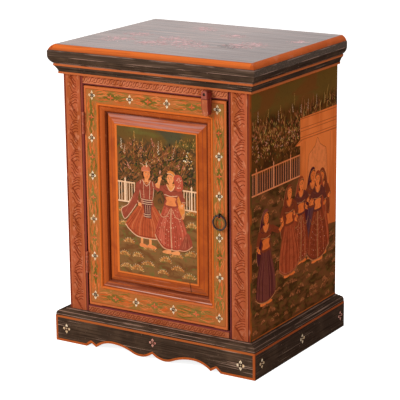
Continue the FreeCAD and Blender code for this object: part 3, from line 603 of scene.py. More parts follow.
# %% [markdown]
# ## The flat frame of the door
# The frame is flat, with an orange ground broken by olive patches. Scrolls are painted over it
# later. A brighter orange line runs round its outside. Each of its boards lies along one side of
# the door, so the distance from the door's edge is the smallest of four small differences.

# %% Door frame
def depth_inside(finish, box):
    """How far a point lies inside a rectangle on the door, in metres. It is less than 0 outside."""
    gaps = [finish.sum("SUBTRACT", finish.x, box["left"] * MM),
            finish.sum("SUBTRACT", box["right"] * MM, finish.x),
            finish.sum("SUBTRACT", finish.z, box["foot"] * MM),
            finish.sum("SUBTRACT", box["head"] * MM, finish.z)]
    first = finish.sum("MINIMUM", gaps[0], gaps[1])
    return finish.sum("MINIMUM", finish.sum("MINIMUM", first, gaps[2]), gaps[3])


def door_frame_finish():
    finish = Finish("door_ground", "#b86c38")
    finish.over(finish.spots(34, 0.46, 0.62, 4, 0.6), "#8c7034", 0.75)
    finish.over(finish.spots(120, 0.5, 0.7, 3, 0.4, 4.0), "#c0703a", 0.6)
    inside = finish.shaky(depth_inside(finish, DOOR), 0.4)
    finish.over(finish.before(inside, 4.6, 5.4), "#d4703c")
    finish.over(finish.between(inside, 4.8, 6.0, 0.25), "#8d3c1c", 0.7)
    finish.over(finish.spots(260, 0.66, 0.74, 2, 0, 8.0), "#c99060", 0.5)
    # The latch edge of the door is painted near black: painted shade of the gap beside it.
    finish.over(finish.past(finish.x, DOOR["right"] - 0.8, DOOR["right"] - 0.1), "#1c0b07", 0.95)
    wood_coats(finish, 2, finish.past(finish.y, CASE_FACE + 17, CASE_FACE + 18))
    return finish.done(0.46, 0.0, None, 0.16, 0.7)


wear(["door_stile_left", "door_stile_right", "door_rail_foot", "door_rail_head"], door_frame_finish())
print("door frame painted,", round(DOOR["right"] - DOOR["left"], 1), "mm wide")

# %% [markdown]
# ## The planted moulding
# The moulding has a bright bead, a brown-red slope and dark lines in its two quirks; the dark
# lines are painted shade. Its left side is painted brighter, as painted light. Dust and dusters
# work hardest on the moulding at the foot, which faces up, and its lighter streaks there are
# dust and a painted highlight on that upward face. Its ridge carries a broken pink line, both
# rubbed and a painted highlight.

# %% Door moulding
def at_one_end(finish, box, end, inside, start, full):
    """Covers the boards along the foot or the head of a rectangle, up to their mitres."""
    if end == "foot":
        away = finish.sum("SUBTRACT", finish.z, box["foot"] * MM)
    else:
        away = finish.sum("SUBTRACT", box["head"] * MM, finish.z)
    return finish.before(finish.sum("SUBTRACT", away, inside), start, full)


def door_moulding_finish():
    finish = Finish("door_moulding_paint", BROWN_RED)
    inside = finish.shaky(depth_inside(finish, BAND), 0.3)
    finish.over(finish.spots(50, 0.35, 0.7, 3, 0.6), "#9a4216", 0.6)
    finish.over(finish.spots(300, 0.5, 0.7, 2, 0.0, 15.0), "#c8662c", 0.4)
    # Painted light: the moulding is brighter on the left.
    finish.over(finish.past(finish.x, -112, -122), "#cc642e", 0.65)
    finish.over(finish.before(inside, 4.4, 5.2), "#e0702a")
    # The dark lines in the two quirks are painted shade.
    finish.over(finish.between(inside, 4.9, 6.2, 0.3), "#662810", 0.85)
    finish.over(finish.between(inside, 10.6, 12.2, 0.4), "#bb5c28", 0.6)
    finish.over(finish.between(inside, 15.0, 19, 0.4), "#5d2310", 0.85)
    # At the foot: scuffs, and lighter streaks and a pink ridge line that are dust, wear and a painted
    # highlight.
    at_foot = at_one_end(finish, BAND, "foot", inside, 0.6, 1.6)
    dust_and_sheen = finish.spots((9, 90, 300), 0.4, 0.65, 3, 0, 2.0)
    scuffs = finish.spots((8, 60, 420), 0.52, 0.62, 3, 0.2, 21.0)
    ridge = finish.both(finish.between(inside, 6.6, 8.4, 0.4),
            finish.spots((18, 60, 60), 0.3, 0.55, 3, 0.3, 7.0))
    for mask, colour, share in ((dust_and_sheen, "#b0674c", 0.6), (scuffs, "#6e2e18", 0.7), (ridge, "#dcab9c", 0.85)):
        finish.over((at_foot, mask), colour, share)
    finish.over(finish.spots(200, 0.64, 0.74, 2, 0, 5.0), "#c8764a", 0.35)
    return finish.done(0.36, 0.0, None, 0.14, 0.7, gloss=0.03)


wear([f"door_moulding_{side}" for side in ("left", "right", "foot", "head")], door_moulding_finish())
print("moulding painted round", round(BAND["right"] - BAND["left"], 1), "mm")

# %% [markdown]
# ## The raised panel
# The bevel of the panel is brown-orange between two dark lines; the outer one, in the groove,
# is painted shade. Under the head the bevel faces up and is pinkish, a streaky painted highlight,
# and above the foot it is scuffed. An orange line frames its raised field. At the right of its foot
# the panel has a short upright crack. The picture is painted on the field later.

# %% Door panel
def panel_finish():
    finish = Finish("panel_bevel_paint", "#bf5a20")
    inside = finish.shaky(depth_inside(finish, FIELD), 0.35)
    finish.over(finish.spots(40, 0.35, 0.7, 3, 0.7), "#a2461a", 0.7)
    # The dark line in the groove is painted shade.
    finish.over(finish.between(inside, -9, 2.2, 0.3), "#7a3318")
    finish.over(finish.between(inside, 9.2, 10.6, 0.3), "#8a3c26", 0.7)
    # Painted highlight under the head, where the bevel faces up.
    under_head = at_one_end(finish, FIELD, "head", inside, 0.4, 1.4)
    streaky_highlight = finish.spots((7, 60, 420), 0.3, 0.66, 3, 0.3, 11.0)
    finish.over((under_head, streaky_highlight), "#c08c84", 0.8)
    finish.over((under_head, finish.between(inside, 12, 14.6, 0.8)), "#c96a48", 0.8)
    over_foot = at_one_end(finish, FIELD, "foot", inside, 0.4, 1.4)
    scuffs = finish.spots((9, 60, 420), 0.44, 0.6, 3, 0.3, 27.0)
    finish.over((over_foot, scuffs), "#86401f", 0.75)
    scratches = finish.spots((12, 60, 500), 0.6, 0.68, 3, 0, 31.0)
    finish.over((over_foot, scratches), "#cf8468", 0.6)
    finish.over(finish.past(inside, 19.3, 20), "#e0722e")
    crooked = finish.shaky(finish.x, 1.4, 90)
    crack = finish.both(finish.between(crooked, 72.8, 74.6, 0.3),
            finish.between(finish.z, FIELD["foot"] + 3, FIELD["foot"] + 24))
    finish.over(crack, "#2c140c")
    wood_coats(finish, 2, finish.past(finish.y, PANEL_FACE + 7.3, PANEL_FACE + 7.8))
    return finish.done(0.42, 0.0, None, 0.14, 0.6, gloss=0.06)


wear(["door_panel"], panel_finish())
print("panel painted,", round(FIELD["head"] - FIELD["foot"], 1), "mm between the rails")

# %% [markdown]
# ## Sides
# Outside, each side gets a dark brown ground, and its picture is painted over it later. Inside
# it is bare wood. One mask, how far the point lies from the middle, tells the two apart.

# %% Side panels
def side_finish():
    finish = Finish("side_ground", "#6a4722")
    finish.over(finish.spots(20, 0.35, 0.7), "#53381c", 0.8)
    wide = finish.sum("ABSOLUTE", finish.x)
    wood_coats(finish, 2, finish.before(wide, SIDE_FACE - 0.4, SIDE_FACE - 0.2))
    return finish.done(0.5, 0.0, grain(finish, 2), 0.2, 0.7)


wear(["side_panel_left", "side_panel_right"], side_finish())
print("sides grounded", SIDE_FACE, "mm from the middle")

# %% [markdown]
# ## Iron, and iron that was painted over
# The ring, its screw eye and the screw of the turn button are black iron, bright where fingers
# rub them. The hinges were brushed over with the pinkish red of the frame. Rust and rubbed spots
# are noise with a steep ramp.

# %% Iron
def iron_finish():
    finish = Finish("old_iron", "#2c211d")
    finish.over(finish.spots(260, 0.5, 0.66, 4, 0.5), "#4a2f25", 0.8)
    finish.over(finish.spots(500, 0.6, 0.7, 3, 0, 4.0), "#8a6f62", 0.6)
    return finish.done(0.36, 0.0, finish.noise(600, 3), 0.35, metal=0.3, gloss=0.25)


def painted_iron_finish():
    finish = Finish("painted_iron", "#b0583c")
    finish.over(finish.spots(200, 0.5, 0.64, 3, 0.5), "#c87a60", 0.7)
    finish.over(finish.spots(300, 0.6, 0.68, 4, 0, 6.0), "#3b2620", 0.9)
    return finish.done(0.5, 0.1, finish.noise(500, 3), 0.3, 0.4)


hinge_irons = [name for name in nodes if name.startswith("hinge_")]
wear(["ring_pull", "ring_eye", "eye_washer", "button_screw"], iron_finish())
wear(hinge_irons, painted_iron_finish())
print("iron painted over:", len(hinge_irons))

# %% [markdown]
# ## The turn button
# The button is one piece of wood. Its head is pink-brown, the scoop below it orange-brown, and
# its flanks are painted dark red as painted shade. A dark line under the head is a painted shadow
# of the step into the scoop, and the hole round the iron screw is painted near black as painted
# shade.

# %% Turn button
screw_x, screw_z = middle_of("button_screw", "x"), middle_of("button_screw", "z")


def button_finish():
    """The scoop starts under the head. Its place and that of the painted shade in the hole are taken from
    the screw.
    """
    finish = Finish("turn_button_paint", "#a85a4a")
    finish.over(finish.before(finish.z, screw_z - 9.0, screw_z - 8.4), "#c0683c")
    finish.over(finish.spots((70, 70, 18), 0.38, 0.66, 3, 0.8), "#9a4430", 0.6)
    aside = finish.sum("ABSOLUTE", finish.sum("SUBTRACT", finish.x, screw_x * MM))
    # The flanks are painted dark red: painted shade.
    finish.over(finish.past(aside, 5.0, 6.2), "#8c3226", 0.9)
    # A painted shadow under the step into the scoop.
    finish.over(finish.between(finish.z, screw_z - 10.0, screw_z - 8.0, 0.4), "#6d2a1e", 0.8)
    up = finish.sum("SUBTRACT", finish.z, screw_z * MM)
    from_nail = finish.sum("SQRT", finish.sum("ADD", finish.both(aside, aside), finish.both(up, up)))
    # The hole round the screw is painted near black: painted shade in the hole.
    finish.over(finish.before(from_nail, 2.7, 3.0), "#1c0f0c")
    finish.over(finish.spots((240, 240, 90), 0.62, 0.7, 3, 0, 3.0), "#d29a86", 0.35)
    return finish.done(0.48, 0.0, finish.noise((300, 300, 60), 3), 0.3, 1.0, gloss=0.1)


wear(["turn_button"], button_finish())
left_bare = [n for n, o in nodes.items() if not o.material_slots or o.material_slots[0].link != "OBJECT"]
print("screw of the button at", (screw_x, screw_z), "and boards without a finish:", left_bare)

# %% [markdown]
# ## Smooth lines
# A brush or a gouge never turns a sharp corner. So lines are given by a few places, and a smooth
# curve is led through them. It passes through every place, which makes it easy to steer.

# %% Lead a curve through places
def flowing(points, closed=False, pieces=5):
    """Draws a smooth line through a few placed points."""
    pts = [tuple(map(float, p)) for p in points]
    if len(pts) < 3:
        return pts
    ring = [pts[-1], *pts, pts[0], pts[1]] if closed else [pts[0], *pts, pts[-1]]
    line = []
    for p0, p1, p2, p3 in zip(ring, ring[1:], ring[2:], ring[3:]):
        for k in range(pieces):
            t = k / pieces
            line.append(tuple(0.5 * (2 * b + (c - a) * t + (2 * a - 5 * b + 4 * c - d) * t * t
                    + (3 * b - a - 3 * c + d) * t ** 3) for a, b, c, d in zip(p0, p1, p2, p3)))
    return line if closed else line + [pts[-1]]


print("a smooth line through three places has", len(flowing([(0, 0), (1, 1), (2, 0)])), "points")

# %% [markdown]
# ## Marks of paint
# Dried paint stands a little proud of the wood. Each brush mark here is a thin closed solid, and
# each new mark lies a hair higher than the last, so later marks cover earlier ones just as they
# do on the real piece. A canvas collects all the marks of one picture into a single mesh. Its
# foot is sunk a little into the wood, so no gap shows under it.

# %% A canvas for flat faces
class Canvas:
    """Paint on one flat face. Places on it are millimetres to the right and up."""

    sunk = -0.05

    def __init__(self, name, origin, right, up, rise=0.06, step=0.003, inside=None):
        self.name, self.origin, self.inside = name, Vector(origin) * MM, inside
        self.right, self.up = Vector(right), Vector(up)
        self.out = self.right.cross(self.up)
        self.rise, self.step, self.coats = rise, step, {}
        self.verts, self.faces, self.which, self.paints = [], [], [], []

    def spot3(self, a, b, height):
        """The place in the room of a spot on the canvas, so many millimetres over the wood."""
        return self.origin + (self.right * a + self.up * b + self.out * height) * MM

    def next_coat(self, outline, cell=2.5):
        """Counts the coats that lie in the cells under an outline, and puts this one on top."""
        reach = []
        for places in zip(*outline):
            reach.append(range(int(min(places) // cell), int(max(places) // cell) + 1))
        cells = [(i, j) for i in reach[0] for j in reach[1]]
        coat = 1 + max(self.coats.get(under, 0) for under in cells)
        self.coats.update(dict.fromkeys(cells, coat))
        return self.rise + coat * self.step

    def strays(self, outline):
        """Tells whether a mark would leave the picture."""
        if not self.inside:
            return False
        left, right, foot, head = self.inside
        return not all(left <= a <= right and foot <= b <= head for a, b in outline)

    def lay(self, paint, rim, caps):
        """Adds a solid over an outline. Caps gives the faces of its top and its underside."""
        if self.strays(rim):
            return
        if paint not in self.paints:
            self.paints.append(paint)
        start, n = len(self.verts), len(rim)
        for height in (self.sunk, self.next_coat(rim)):
            self.verts += [self.spot3(a, b, height) for a, b in rim]
        top = start + n
        walls = [(start + i, start + (i + 1) % n, top + (i + 1) % n, top + i) for i in range(n)]
        new = caps(start, n) + walls
        self.faces += new
        self.which += [self.paints.index(paint)] * len(new)

    def patch(self, paint, outline):
        """Fills an outline."""
        area = sum(p[0] * q[1] - q[0] * p[1] for p, q in zip(outline, outline[1:] + outline[:1]))
        rim = list(outline) if area > 0 else list(outline)[::-1]

        def caps(start, n):
            return [tuple(start + n + i for i in range(n)), tuple(start + n - 1 - i for i in range(n))]

        self.lay(paint, rim, caps)

    def line(self, paint, points, width, taper=None):
        """Draws a line. Taper is a list of shares of the width, spread from start to end."""
        n = len(points)
        shares = spread_shares(taper, n)
        left, right = [], []
        for i, (a, b) in enumerate(points):
            p, q = points[max(i - 1, 0)], points[min(i + 1, n - 1)]
            run = math.hypot(q[0] - p[0], q[1] - p[1]) or 1.0
            na, nb = -(q[1] - p[1]) / run, (q[0] - p[0]) / run
            half = max(width * shares[i], 0.08) / 2
            left.append((a + na * half, b + nb * half))
            right.append((a - na * half, b - nb * half))

        def caps(start, m):
            top = start + m
            strip = [(top + i, top + i + 1, top + m - 2 - i, top + m - 1 - i) for i in range(n - 1)]
            under = [(start + m - 1 - i, start + m - 2 - i, start + i + 1, start + i) for i in range(n - 1)]
            return strip + under

        self.lay(paint, right + left[::-1], caps)

    def dot(self, paint, a, b, wide, tall=None, sides=8):
        """A round or oval dab. Wide and tall are measured from its middle to its edge."""
        tall = tall or wide
        turns = [k * math.tau / sides for k in range(sides)]
        self.patch(paint, [(a + wide * math.cos(turn), b + tall * math.sin(turn)) for turn in turns])

    def leaf(self, paint, a, b, angle, length, width):
        """A pointed dab that starts at a place and points along an angle in degrees."""
        c, s = math.cos(math.radians(angle)), math.sin(math.radians(angle))
        shape = [(0, 0), (0.45 * length, -width / 2), (length, 0), (0.45 * length, width / 2)]
        self.patch(paint, [(a + u * c - v * s, b + u * s + v * c) for u, v in shape])

    def hang(self, body, slot):
        """Makes the mesh and lets it move with its body."""
        mesh = bpy.data.meshes.new(self.name)
        mesh.from_pydata(self.verts, [], self.faces)
        for paint in self.paints:
            mesh.materials.append(paint)
        mesh.polygons.foreach_set("material_index", self.which)
        mesh.validate()
        settle(self.name, mesh, body)
        print(self.name, len(self.faces), "faces,", max(self.coats.values()), "coats at most")


def spread_shares(taper, count):
    """One share of a line's width for each of its points, read off a short list."""
    if not taper:
        return [1.0] * count
    shares = []
    for i in range(count):
        t = i / (count - 1) * (len(taper) - 1)
        k = min(int(t), len(taper) - 2)
        shares.append(taper[k] + (taper[k + 1] - taper[k]) * (t - k))
    return shares


def settle(name, mesh, body):
    """Puts a new mesh on the cabinet, where it rides on a body and has a place in the list."""
    thing = bpy.data.objects.new(name, mesh)
    bpy.context.scene.collection.objects.link(thing)
    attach(thing, body)


FRONT = {"right": (1, 0, 0), "up": (0, 0, 1)}
RIGHT_SIDE = {"right": (0, 1, 0), "up": (0, 0, 1)}
LEFT_SIDE = {"right": (0, -1, 0), "up": (0, 0, 1)}
print("a first coat stands", Canvas("trial", (0, 0, 0), **FRONT).next_coat([(0, 0), (1, 1)]), "mm proud")

# %% [markdown]
# ## Dry paint
# Paint from one pot never dries in one tone. A pot can hold several colours here, and each
# separate mark takes one of them by chance. Brown wear then shows through in soft spots.

# %% A pot of paint
def pigment(name, *codes, mottle=0.35, gloss=0.0, varnish=0.0):
    """Dry paint. With several colours, each separate mark takes one of them by chance."""
    finish = Finish(name, codes[0])
    if len(codes) > 1:
        chance = finish.add("ShaderNodeNewGeometry").outputs["Random Per Island"]
        for i, code in enumerate(codes[1:], 1):
            finish.over(finish.ramp(chance, i / len(codes) - 0.02, i / len(codes) + 0.02), code)
    finish.over(finish.spots(110, 0.42, 0.75, 3, 0.5), "#5a2c16", mottle)
    return finish.done(0.4 if varnish else 0.55, varnish, gloss=gloss, varnish_rough=0.12)


orange_line = pigment("orange_line", "#c5622c", mottle=0.3)
print("first pot:", orange_line.name)

# %% [markdown]
# ## Carving
# The stiles and rails are carved. Carving is real depth, so it is a fine grid of points that
# each cut pushes down, as a gouge would. A cut is a line, a radius and a depth. The colour
# follows the depth, lighter on the ridges and darker in the cuts, and the carving is a little
# darker towards the bottom.

# %% A gouge and the paint in its cuts
def carved_paint(name, face, floor, ridge, cut):
    """Paint that darkens with depth. Face and floor are places along Y in millimetres."""
    finish = Finish(name, ridge)
    finish.over(finish.spots((40, 40, 14), 0.38, 0.7, 4, 0.5), "#a8552a", 0.8)
    finish.over(finish.spots((160, 160, 90), 0.54, 0.66, 3, 0, 3.0), "#dc8c66", 0.55)
    finish.over(finish.past(finish.z, 330, 90), "#9c4c2c", 0.35)
    finish.over(finish.past(finish.y, face + 0.12, floor), cut, 0.92)
    return finish.done(0.55, 0.0, grain(finish, 2), 0.16)


def gouged(across, along, face, cuts, stride=0.4):
    """Heights of a grid of points after the cuts, which are lines of (points, radius, depth)."""
    relief = np.full((len(across), len(along)), float(face))
    for points, radius, depth in cuts:
        for (a, b), (c, d) in zip(points, points[1:]):
            pieces = max(1, int(math.hypot(c - a, d - b) / stride))
            for k in range(pieces):
                u, v = a + (c - a) * k / pieces, b + (d - b) * k / pieces
                i0, i1 = np.searchsorted(across, (u - radius, u + radius))
                j0, j1 = np.searchsorted(along, (v - radius, v + radius))
                if i1 > i0 and j1 > j0:
                    far = ((across[i0:i1, None] - u) ** 2 + (along[None, j0:j1] - v) ** 2) / radius ** 2
                    hole = face - depth * np.clip(1 - far, 0, 1)
                    relief[i0:i1, j0:j1] = np.minimum(relief[i0:i1, j0:j1], hole)
    return relief


def plate_faces(rows, cols):
    """Faces of a closed plate: a grid on top, walls round it and one flat underside."""
    faces = []
    for i in range(rows - 1):
        for j in range(cols - 1):
            k = i * cols + j
            faces.append((k, k + cols, k + cols + 1, k + 1))
    rim = [i * cols for i in range(rows)] + [(rows - 1) * cols + j for j in range(1, cols)]
    rim += [i * cols + cols - 1 for i in range(rows - 2, -1, -1)] + list(range(cols - 2, 0, -1))
    low_side = rows * cols
    faces += [(a + low_side, b + low_side, b, a) for a, b in zip(rim, rim[1:] + rim[:1])]
    faces.append(tuple(a + low_side for a in reversed(rim)))
    return faces


def carve(name, canvas, low, high, face, cuts, paint, grid=0.62, sunk=-0.1):
    """A plate between two corners whose face is carved. All lengths are in millimetres."""
    rows, cols = (max(2, round((h - l) / grid)) + 1 for l, h in zip(low, high))
    across, along = (np.linspace(l, h, n) for l, h, n in zip(low, high, (rows, cols)))
    relief = gouged(across, along, face, cuts)
    verts = [canvas.spot3(across[i], along[j], relief[i, j]) for i in range(rows) for j in range(cols)]
    verts += [canvas.spot3(across[i], along[j], sunk) for i in range(rows) for j in range(cols)]
    faces = plate_faces(rows, cols)
    used = sorted({v for f in faces for v in f})
    new = {v: i for i, v in enumerate(used)}
    mesh = bpy.data.meshes.new(name)
    mesh.from_pydata([verts[v] for v in used], [], [tuple(new[v] for v in f) for f in faces])
    mesh.materials.append(paint)
    settle(name, mesh, "case")
    print(name, len(faces), "faces")


flat_bit = np.arange(3.0)
print("one stroke of the gouge leaves", gouged(flat_bit, flat_bit, 1.0, [([(0, 1), (2, 1)], 0.8, 0.5)])[1])

# %% [markdown]
# ## Feathered leaves on the stiles
# A winding stem climbs each stile in a sunk band. Curved leaf cuts fill the side from which the
# stem keeps away. The carver cut them by eye, so their spacing and their reach vary a little.

# %% Carve the stiles
BAND_MIDDLE = round((OPENING + SIDE_FACE) / 2)
BAND_FLOOR = CASE_FACE + 1.2
BAND_RISE = 1.26
BAND_HALF = 14.7
BAND_FOOT, BAND_HEAD = PLINTH_HEAD + 12, CORNICE_FOOT + 2


def leaf_stroke(start, end, z, side, rng):
    """One curved leaf cut. Those on the left climb, and those on the right lie flatter."""
    long = end - start
    climb = abs(long) * (1.0 if side < 0 else 0.3) * rng.uniform(0.85, 1.15)
    bend = (-1.4, 2.4) if side < 0 else (2.2, 2.6)
    return flowing([(start, z), (start + 0.33 * long, z + 0.33 * climb + bend[0]),
            (start + 0.7 * long, z + 0.7 * climb + bend[1]), (end, z + climb)])


def feather_cuts(middle, half, low, high, rng, period=58.0):
    """A winding stem with curved leaf cuts between two heights."""
    sway = half * 0.7

    def stem(z):
        return middle + sway * math.cos(math.tau * (z - low) / period)

    cuts = [([(stem(z), z) for z in np.arange(low, high, 1.5)], 0.8, 0.5)]
    z = low + 3.0
    while z < high:
        side = -1 if stem(z) > middle else 1
        start = stem(z) + side * rng.uniform(-1.5, 2.5)
        end = middle + side * (half - rng.uniform(0.8, 2.4))
        line = leaf_stroke(start, end, z, side, rng)
        cuts.append(([p for p in line if low + 1 < p[1] < high - 1], rng.uniform(0.95, 1.2), 0.95))
        z += rng.uniform(4.7, 5.6) if side < 0 else rng.uniform(4.9, 5.9)
    return cuts


rng = random.Random(7)
stile_paint = carved_paint("carved_paint_band", CASE_FACE - 0.06, CASE_FACE + 0.8, "#c0623f", "#84361c")
rail_paint = carved_paint("carved_paint_row", CASE_FACE - 0.42, CASE_FACE - 0.12, "#d27a54", "#7c341c")
for word, stile_x, half in (("left", -BAND_MIDDLE, 11.4), ("right", BAND_MIDDLE, 13.2)):
    sunk_band = Canvas("sunk_band", (0, BAND_FLOOR, 0), **FRONT)
    carve(f"carved_band_{word}", sunk_band, (stile_x - BAND_HALF, BAND_FOOT),
          (stile_x + BAND_HALF, BAND_HEAD), BAND_RISE,
          feather_cuts(stile_x, half, BAND_FOOT, BAND_HEAD, rng), stile_paint)
print("carved bands lie", BAND_MIDDLE, "mm from the middle")

# %% [markdown]
# ## Small scrolls on the rails
# The rails carry a row of small leaning scrolls, cut much shallower than the leaves. Each scroll
# is one long cut with a short hook on either side, and the hooks mirror each other.

# %% Carve the rails
def scroll_cuts(low, high, foot, head, rng, pitch=14.0):
    """A row of small leaning scrolls along a rail."""
    cuts, x = [], low + 4
    middle, tall = (foot + head) / 2, (head - foot) / 2 - 1.4
    while x < high - 4:
        lean = rng.uniform(0.85, 1.1)
        long_cut = [(x - 7.5, middle - tall * 0.8), (x - 2.5, middle - tall * 0.75), (x, middle),
                (x + 2.5, middle + tall * 0.75), (x + 7.5, middle + tall * 0.8 * lean)]
        cuts.append((flowing(long_cut), 1.3, 0.38))
        for way in (1, -1):
            hook = [(x + way * 1.8, middle - way * tall * 0.7), (x + way * 5.4, middle - way * tall * 0.3),
                    (x + way * 5.8, middle + way * tall * 0.3)]
            cuts.append((flowing(hook), 1.1, 0.36))
        x += pitch * rng.uniform(0.96, 1.04)
    return cuts


flat_face = Canvas("flat_face", (0, CASE_FACE, 0), **FRONT)
for word, foot, head, first, pitch in (("head", 536.0, 551.0, 536.5, 15), ("foot", 66.5, 78.4, 66.5, 14.0)):
    carve(f"carved_row_{word}", flat_face, (-OPENING + 0.5, foot), (OPENING - 0.5, head), 0.42,
          scroll_cuts(-OPENING + 1, OPENING - 1, first, head, rng, pitch), rail_paint)
print("carved rows are", 2 * (OPENING - 0.5), "mm long")

# %% [markdown]
# ## The orange line of the plinth
# The sawn lower edge of the plinth is followed by a line about as wide as a brush. Its path is
# read from the plinth itself: the lowest point of the front face at each place along it.

# %% Line along the scalloped edge
LINE_WIDTH = 4.7
LINE_MIDDLE = 2.4


def scalloped_edge(board, face, spacing=2.5):
    """The lower edge of a board's front face, from left to right in short pieces."""
    lowest = {}
    for vertex in nodes[board].data.vertices:
        if vertex.co.y < (face + 0.01) * MM and vertex.co.z < 0.02:
            x = round(vertex.co.x / MM, 2)
            lowest[x] = min(lowest.get(x, 99.0), vertex.co.z / MM)
    edge = [(x, lowest[x]) for x in sorted(lowest)]
    run = []
    for (x0, z0), (x1, z1) in zip(edge, edge[1:]):
        pieces = max(1, int((x1 - x0) / spacing))
        run += [(x0 + (x1 - x0) * k / pieces, z0 + (z1 - z0) * k / pieces) for k in range(pieces)]
    return run + [edge[-1]]


run = scalloped_edge("plinth_front", PLINTH_FACE)
inner = []
for i, (x, z) in enumerate(run):
    (xa, za), (xb, zb) = run[max(i - 1, 0)], run[min(i + 1, len(run) - 1)]
    length = math.hypot(xb - xa, zb - za)
    inner.append((x - (zb - za) / length * LINE_MIDDLE, z + (xb - xa) / length * LINE_MIDDLE))
plinth = Canvas("plinth_edge_line", (0, PLINTH_FACE, 0), **FRONT)
plinth.line(orange_line, inner, LINE_WIDTH)
plinth.hang("case", "black_lacquer")
print("edge line follows", len(run), "points")

# %% [markdown]
# ## Rosettes
# The rosettes of the flat frame are cream, four petals round a dark heart. The same flower in
# other sizes and colours stands on the plinth, so it is one function. A small turn by chance
# keeps two rosettes from being the same.

# %% A rosette
cream_paint = pigment("cream_paint", "#fbe3c0", "#f4cfa2", mottle=0.15)
ink_paint = pigment("ink_paint", "#3b2418", "#4d2c1c")


def rosette(canvas, a, b, size, rng, petals=cream_paint, heart=ink_paint, spread=0.76):
    """Four petals round a dark heart with a pale dot, and a pale drop at both ends."""
    turn = rng.uniform(-0.1, 0.1)
    canvas.dot(heart, a, b, size * 0.62, sides=10)
    for k in range(4):
        angle = turn + k * math.pi / 2
        u, v = a + size * spread * math.cos(angle), b + size * spread * math.sin(angle)
        canvas.dot(petals, u, v, size * rng.uniform(0.35, 0.41), sides=9)
        canvas.dot(heart, u * 0.82 + a * 0.18, v * 0.82 + b * 0.18, size * rng.uniform(0.13, 0.18), sides=7)
    canvas.dot(petals, a + size * 0.04, b, size * 0.15, sides=6)
    for up in (-1, 1):
        canvas.dot(petals, a + rng.uniform(-0.4, 0.4), b + up * size * 1.22, size * 0.12, size * 0.18, 6)


trial = Canvas("trial", (0, 0, 0), **FRONT)
rosette(trial, 0, 0, 7, random.Random(0))
print("a rosette is", len(trial.faces), "faces")

# %% [markdown]
# ## Scrolls between the rosettes
# Between two rosettes lies an olive lozenge with an orange bud, and long wavy strokes run out to
# it from both sides. The painter worked with the door turned so that every rail lay level, so
# the pattern is drawn along a run here and turned upright for the stiles.

# %% Paint the flat frame of the door
stroke_paint = pigment("stroke_paint", "#dd7038", "#cf622c", "#e0824a", mottle=0.25)
bud_paint = pigment("bud_paint", "#e9704a", "#e2603a", mottle=0.15)
olive_paint = pigment("olive_paint", "#836e30", "#756428", "#90783a")
ROWS = (-1.0, -0.82, -0.6, -0.4, -0.2, 0.04, 0.26, 0.48, 0.7, 0.88, 1.02)


class ScrollRun:
    """The ornament between two rosettes. Along and across swap places on a stile."""

    def __init__(self, canvas, start, end, middle, half, upright, rng):
        self.canvas, self.upright, self.rng = canvas, upright, rng
        self.middle, self.half = middle, half
        self.reach, self.centre = end - start, (start + end) / 2

    def turned(self, points):
        """Places on the canvas of points given along and across the run."""
        return [(self.middle + b, a) if self.upright else (a, self.middle + b) for a, b in points]

    def lozenge(self):
        sides = [(-0.25, 0), (-0.12, 0.55), (0, 0.8), (0.12, 0.55), (0.25, 0), (0.12, -0.55), (0, -0.8),
                (-0.12, -0.55)]
        shape = [(self.centre + u * self.reach, v * self.half * self.rng.uniform(0.55, 1.1))
                for u, v in sides]
        self.canvas.patch(olive_paint, self.turned(flowing(shape, True, 3)))

    def wavy_stroke(self, side, row):
        """One long stroke, from beside a rosette towards the lozenge."""
        rng = self.rng
        b = (row + rng.uniform(-0.06, 0.06)) * self.half
        a0 = self.centre + side * self.reach * rng.uniform(0.36, 0.5)
        a1 = self.centre + side * self.reach * (0.06 + 0.2 * (1 - abs(row))) * rng.uniform(0.2, 1.3)
        wave = rng.uniform(0.6, 1.5) * rng.choice((-1, 1))
        line = flowing([(a0, b * 0.8), (a0 + (a1 - a0) * 0.35, b + wave),
                (a0 + (a1 - a0) * 0.7, b - wave), (a1, b * 0.75)], pieces=4)
        self.canvas.line(rng.choice((stroke_paint, stroke_paint, olive_paint)), self.turned(line),
                rng.uniform(1.2, 2.5), (0.25, 1, 0.8, 0.15))

    def hook(self, side, row):
        a, b = self.centre + side * self.reach * 0.15, row * self.half
        bend = flowing([(a + side * 6, b * 0.6), (a + side * 2, b * 1.3), (a - side * 3, b * 0.9),
                (a, b * 0.5)], pieces=4)
        self.canvas.line(stroke_paint, self.turned(bend), 1.6, (0.2, 1, 1, 0.4))

    def bud(self):
        (a, b), = self.turned([(self.centre, 0)])
        for k in range(4):
            angle = 90 + 90 * k + self.rng.uniform(-12, 12)
            self.canvas.leaf(bud_paint, a, b, angle, self.half * (0.8 if k % 2 else 0.6), self.half * 0.36)

    def paint(self):
        self.lozenge()
        for side in (-1, 1):
            for row in ROWS:
                self.wavy_stroke(side, row)
            for row in (-0.5, 0.5):
                self.hook(side, row)
        self.bud()


rng = random.Random(11)
ROSETTES = {"head": (-144, -55, 30, 142), "left": (428, 352, 263, 186),
        "foot": (-148, -50, 38, 143), "right": (424, 347, 265, 186)}
BESIDE = 4
frame_canvas = Canvas("door_frame_ornament", (0, CASE_FACE, 0), **FRONT)
for side, middle_line, half in (("head", 513, 10), ("foot", 104, 11)):
    for start, end in zip(ROSETTES[side], ROSETTES[side][1:]):
        ScrollRun(frame_canvas, start + BESIDE, end - BESIDE, middle_line, half, False, rng).paint()
for side, middle_line in (("left", -146.5), ("right", 145)):
    stops = [513, *ROSETTES[side], 104]
    for start, end in zip(stops[1:], stops):
        ScrollRun(frame_canvas, start + BESIDE, end - BESIDE, middle_line, 8.6, True, rng).paint()
for side, z in (("head", 513.5), ("foot", 104)):
    for x in ROSETTES[side]:
        rosette(frame_canvas, x, z, 6.8, rng)
for side, x in (("left", -147), ("right", 145)):
    for z in ROSETTES[side]:
        rosette(frame_canvas, x, z, 6.8, rng)
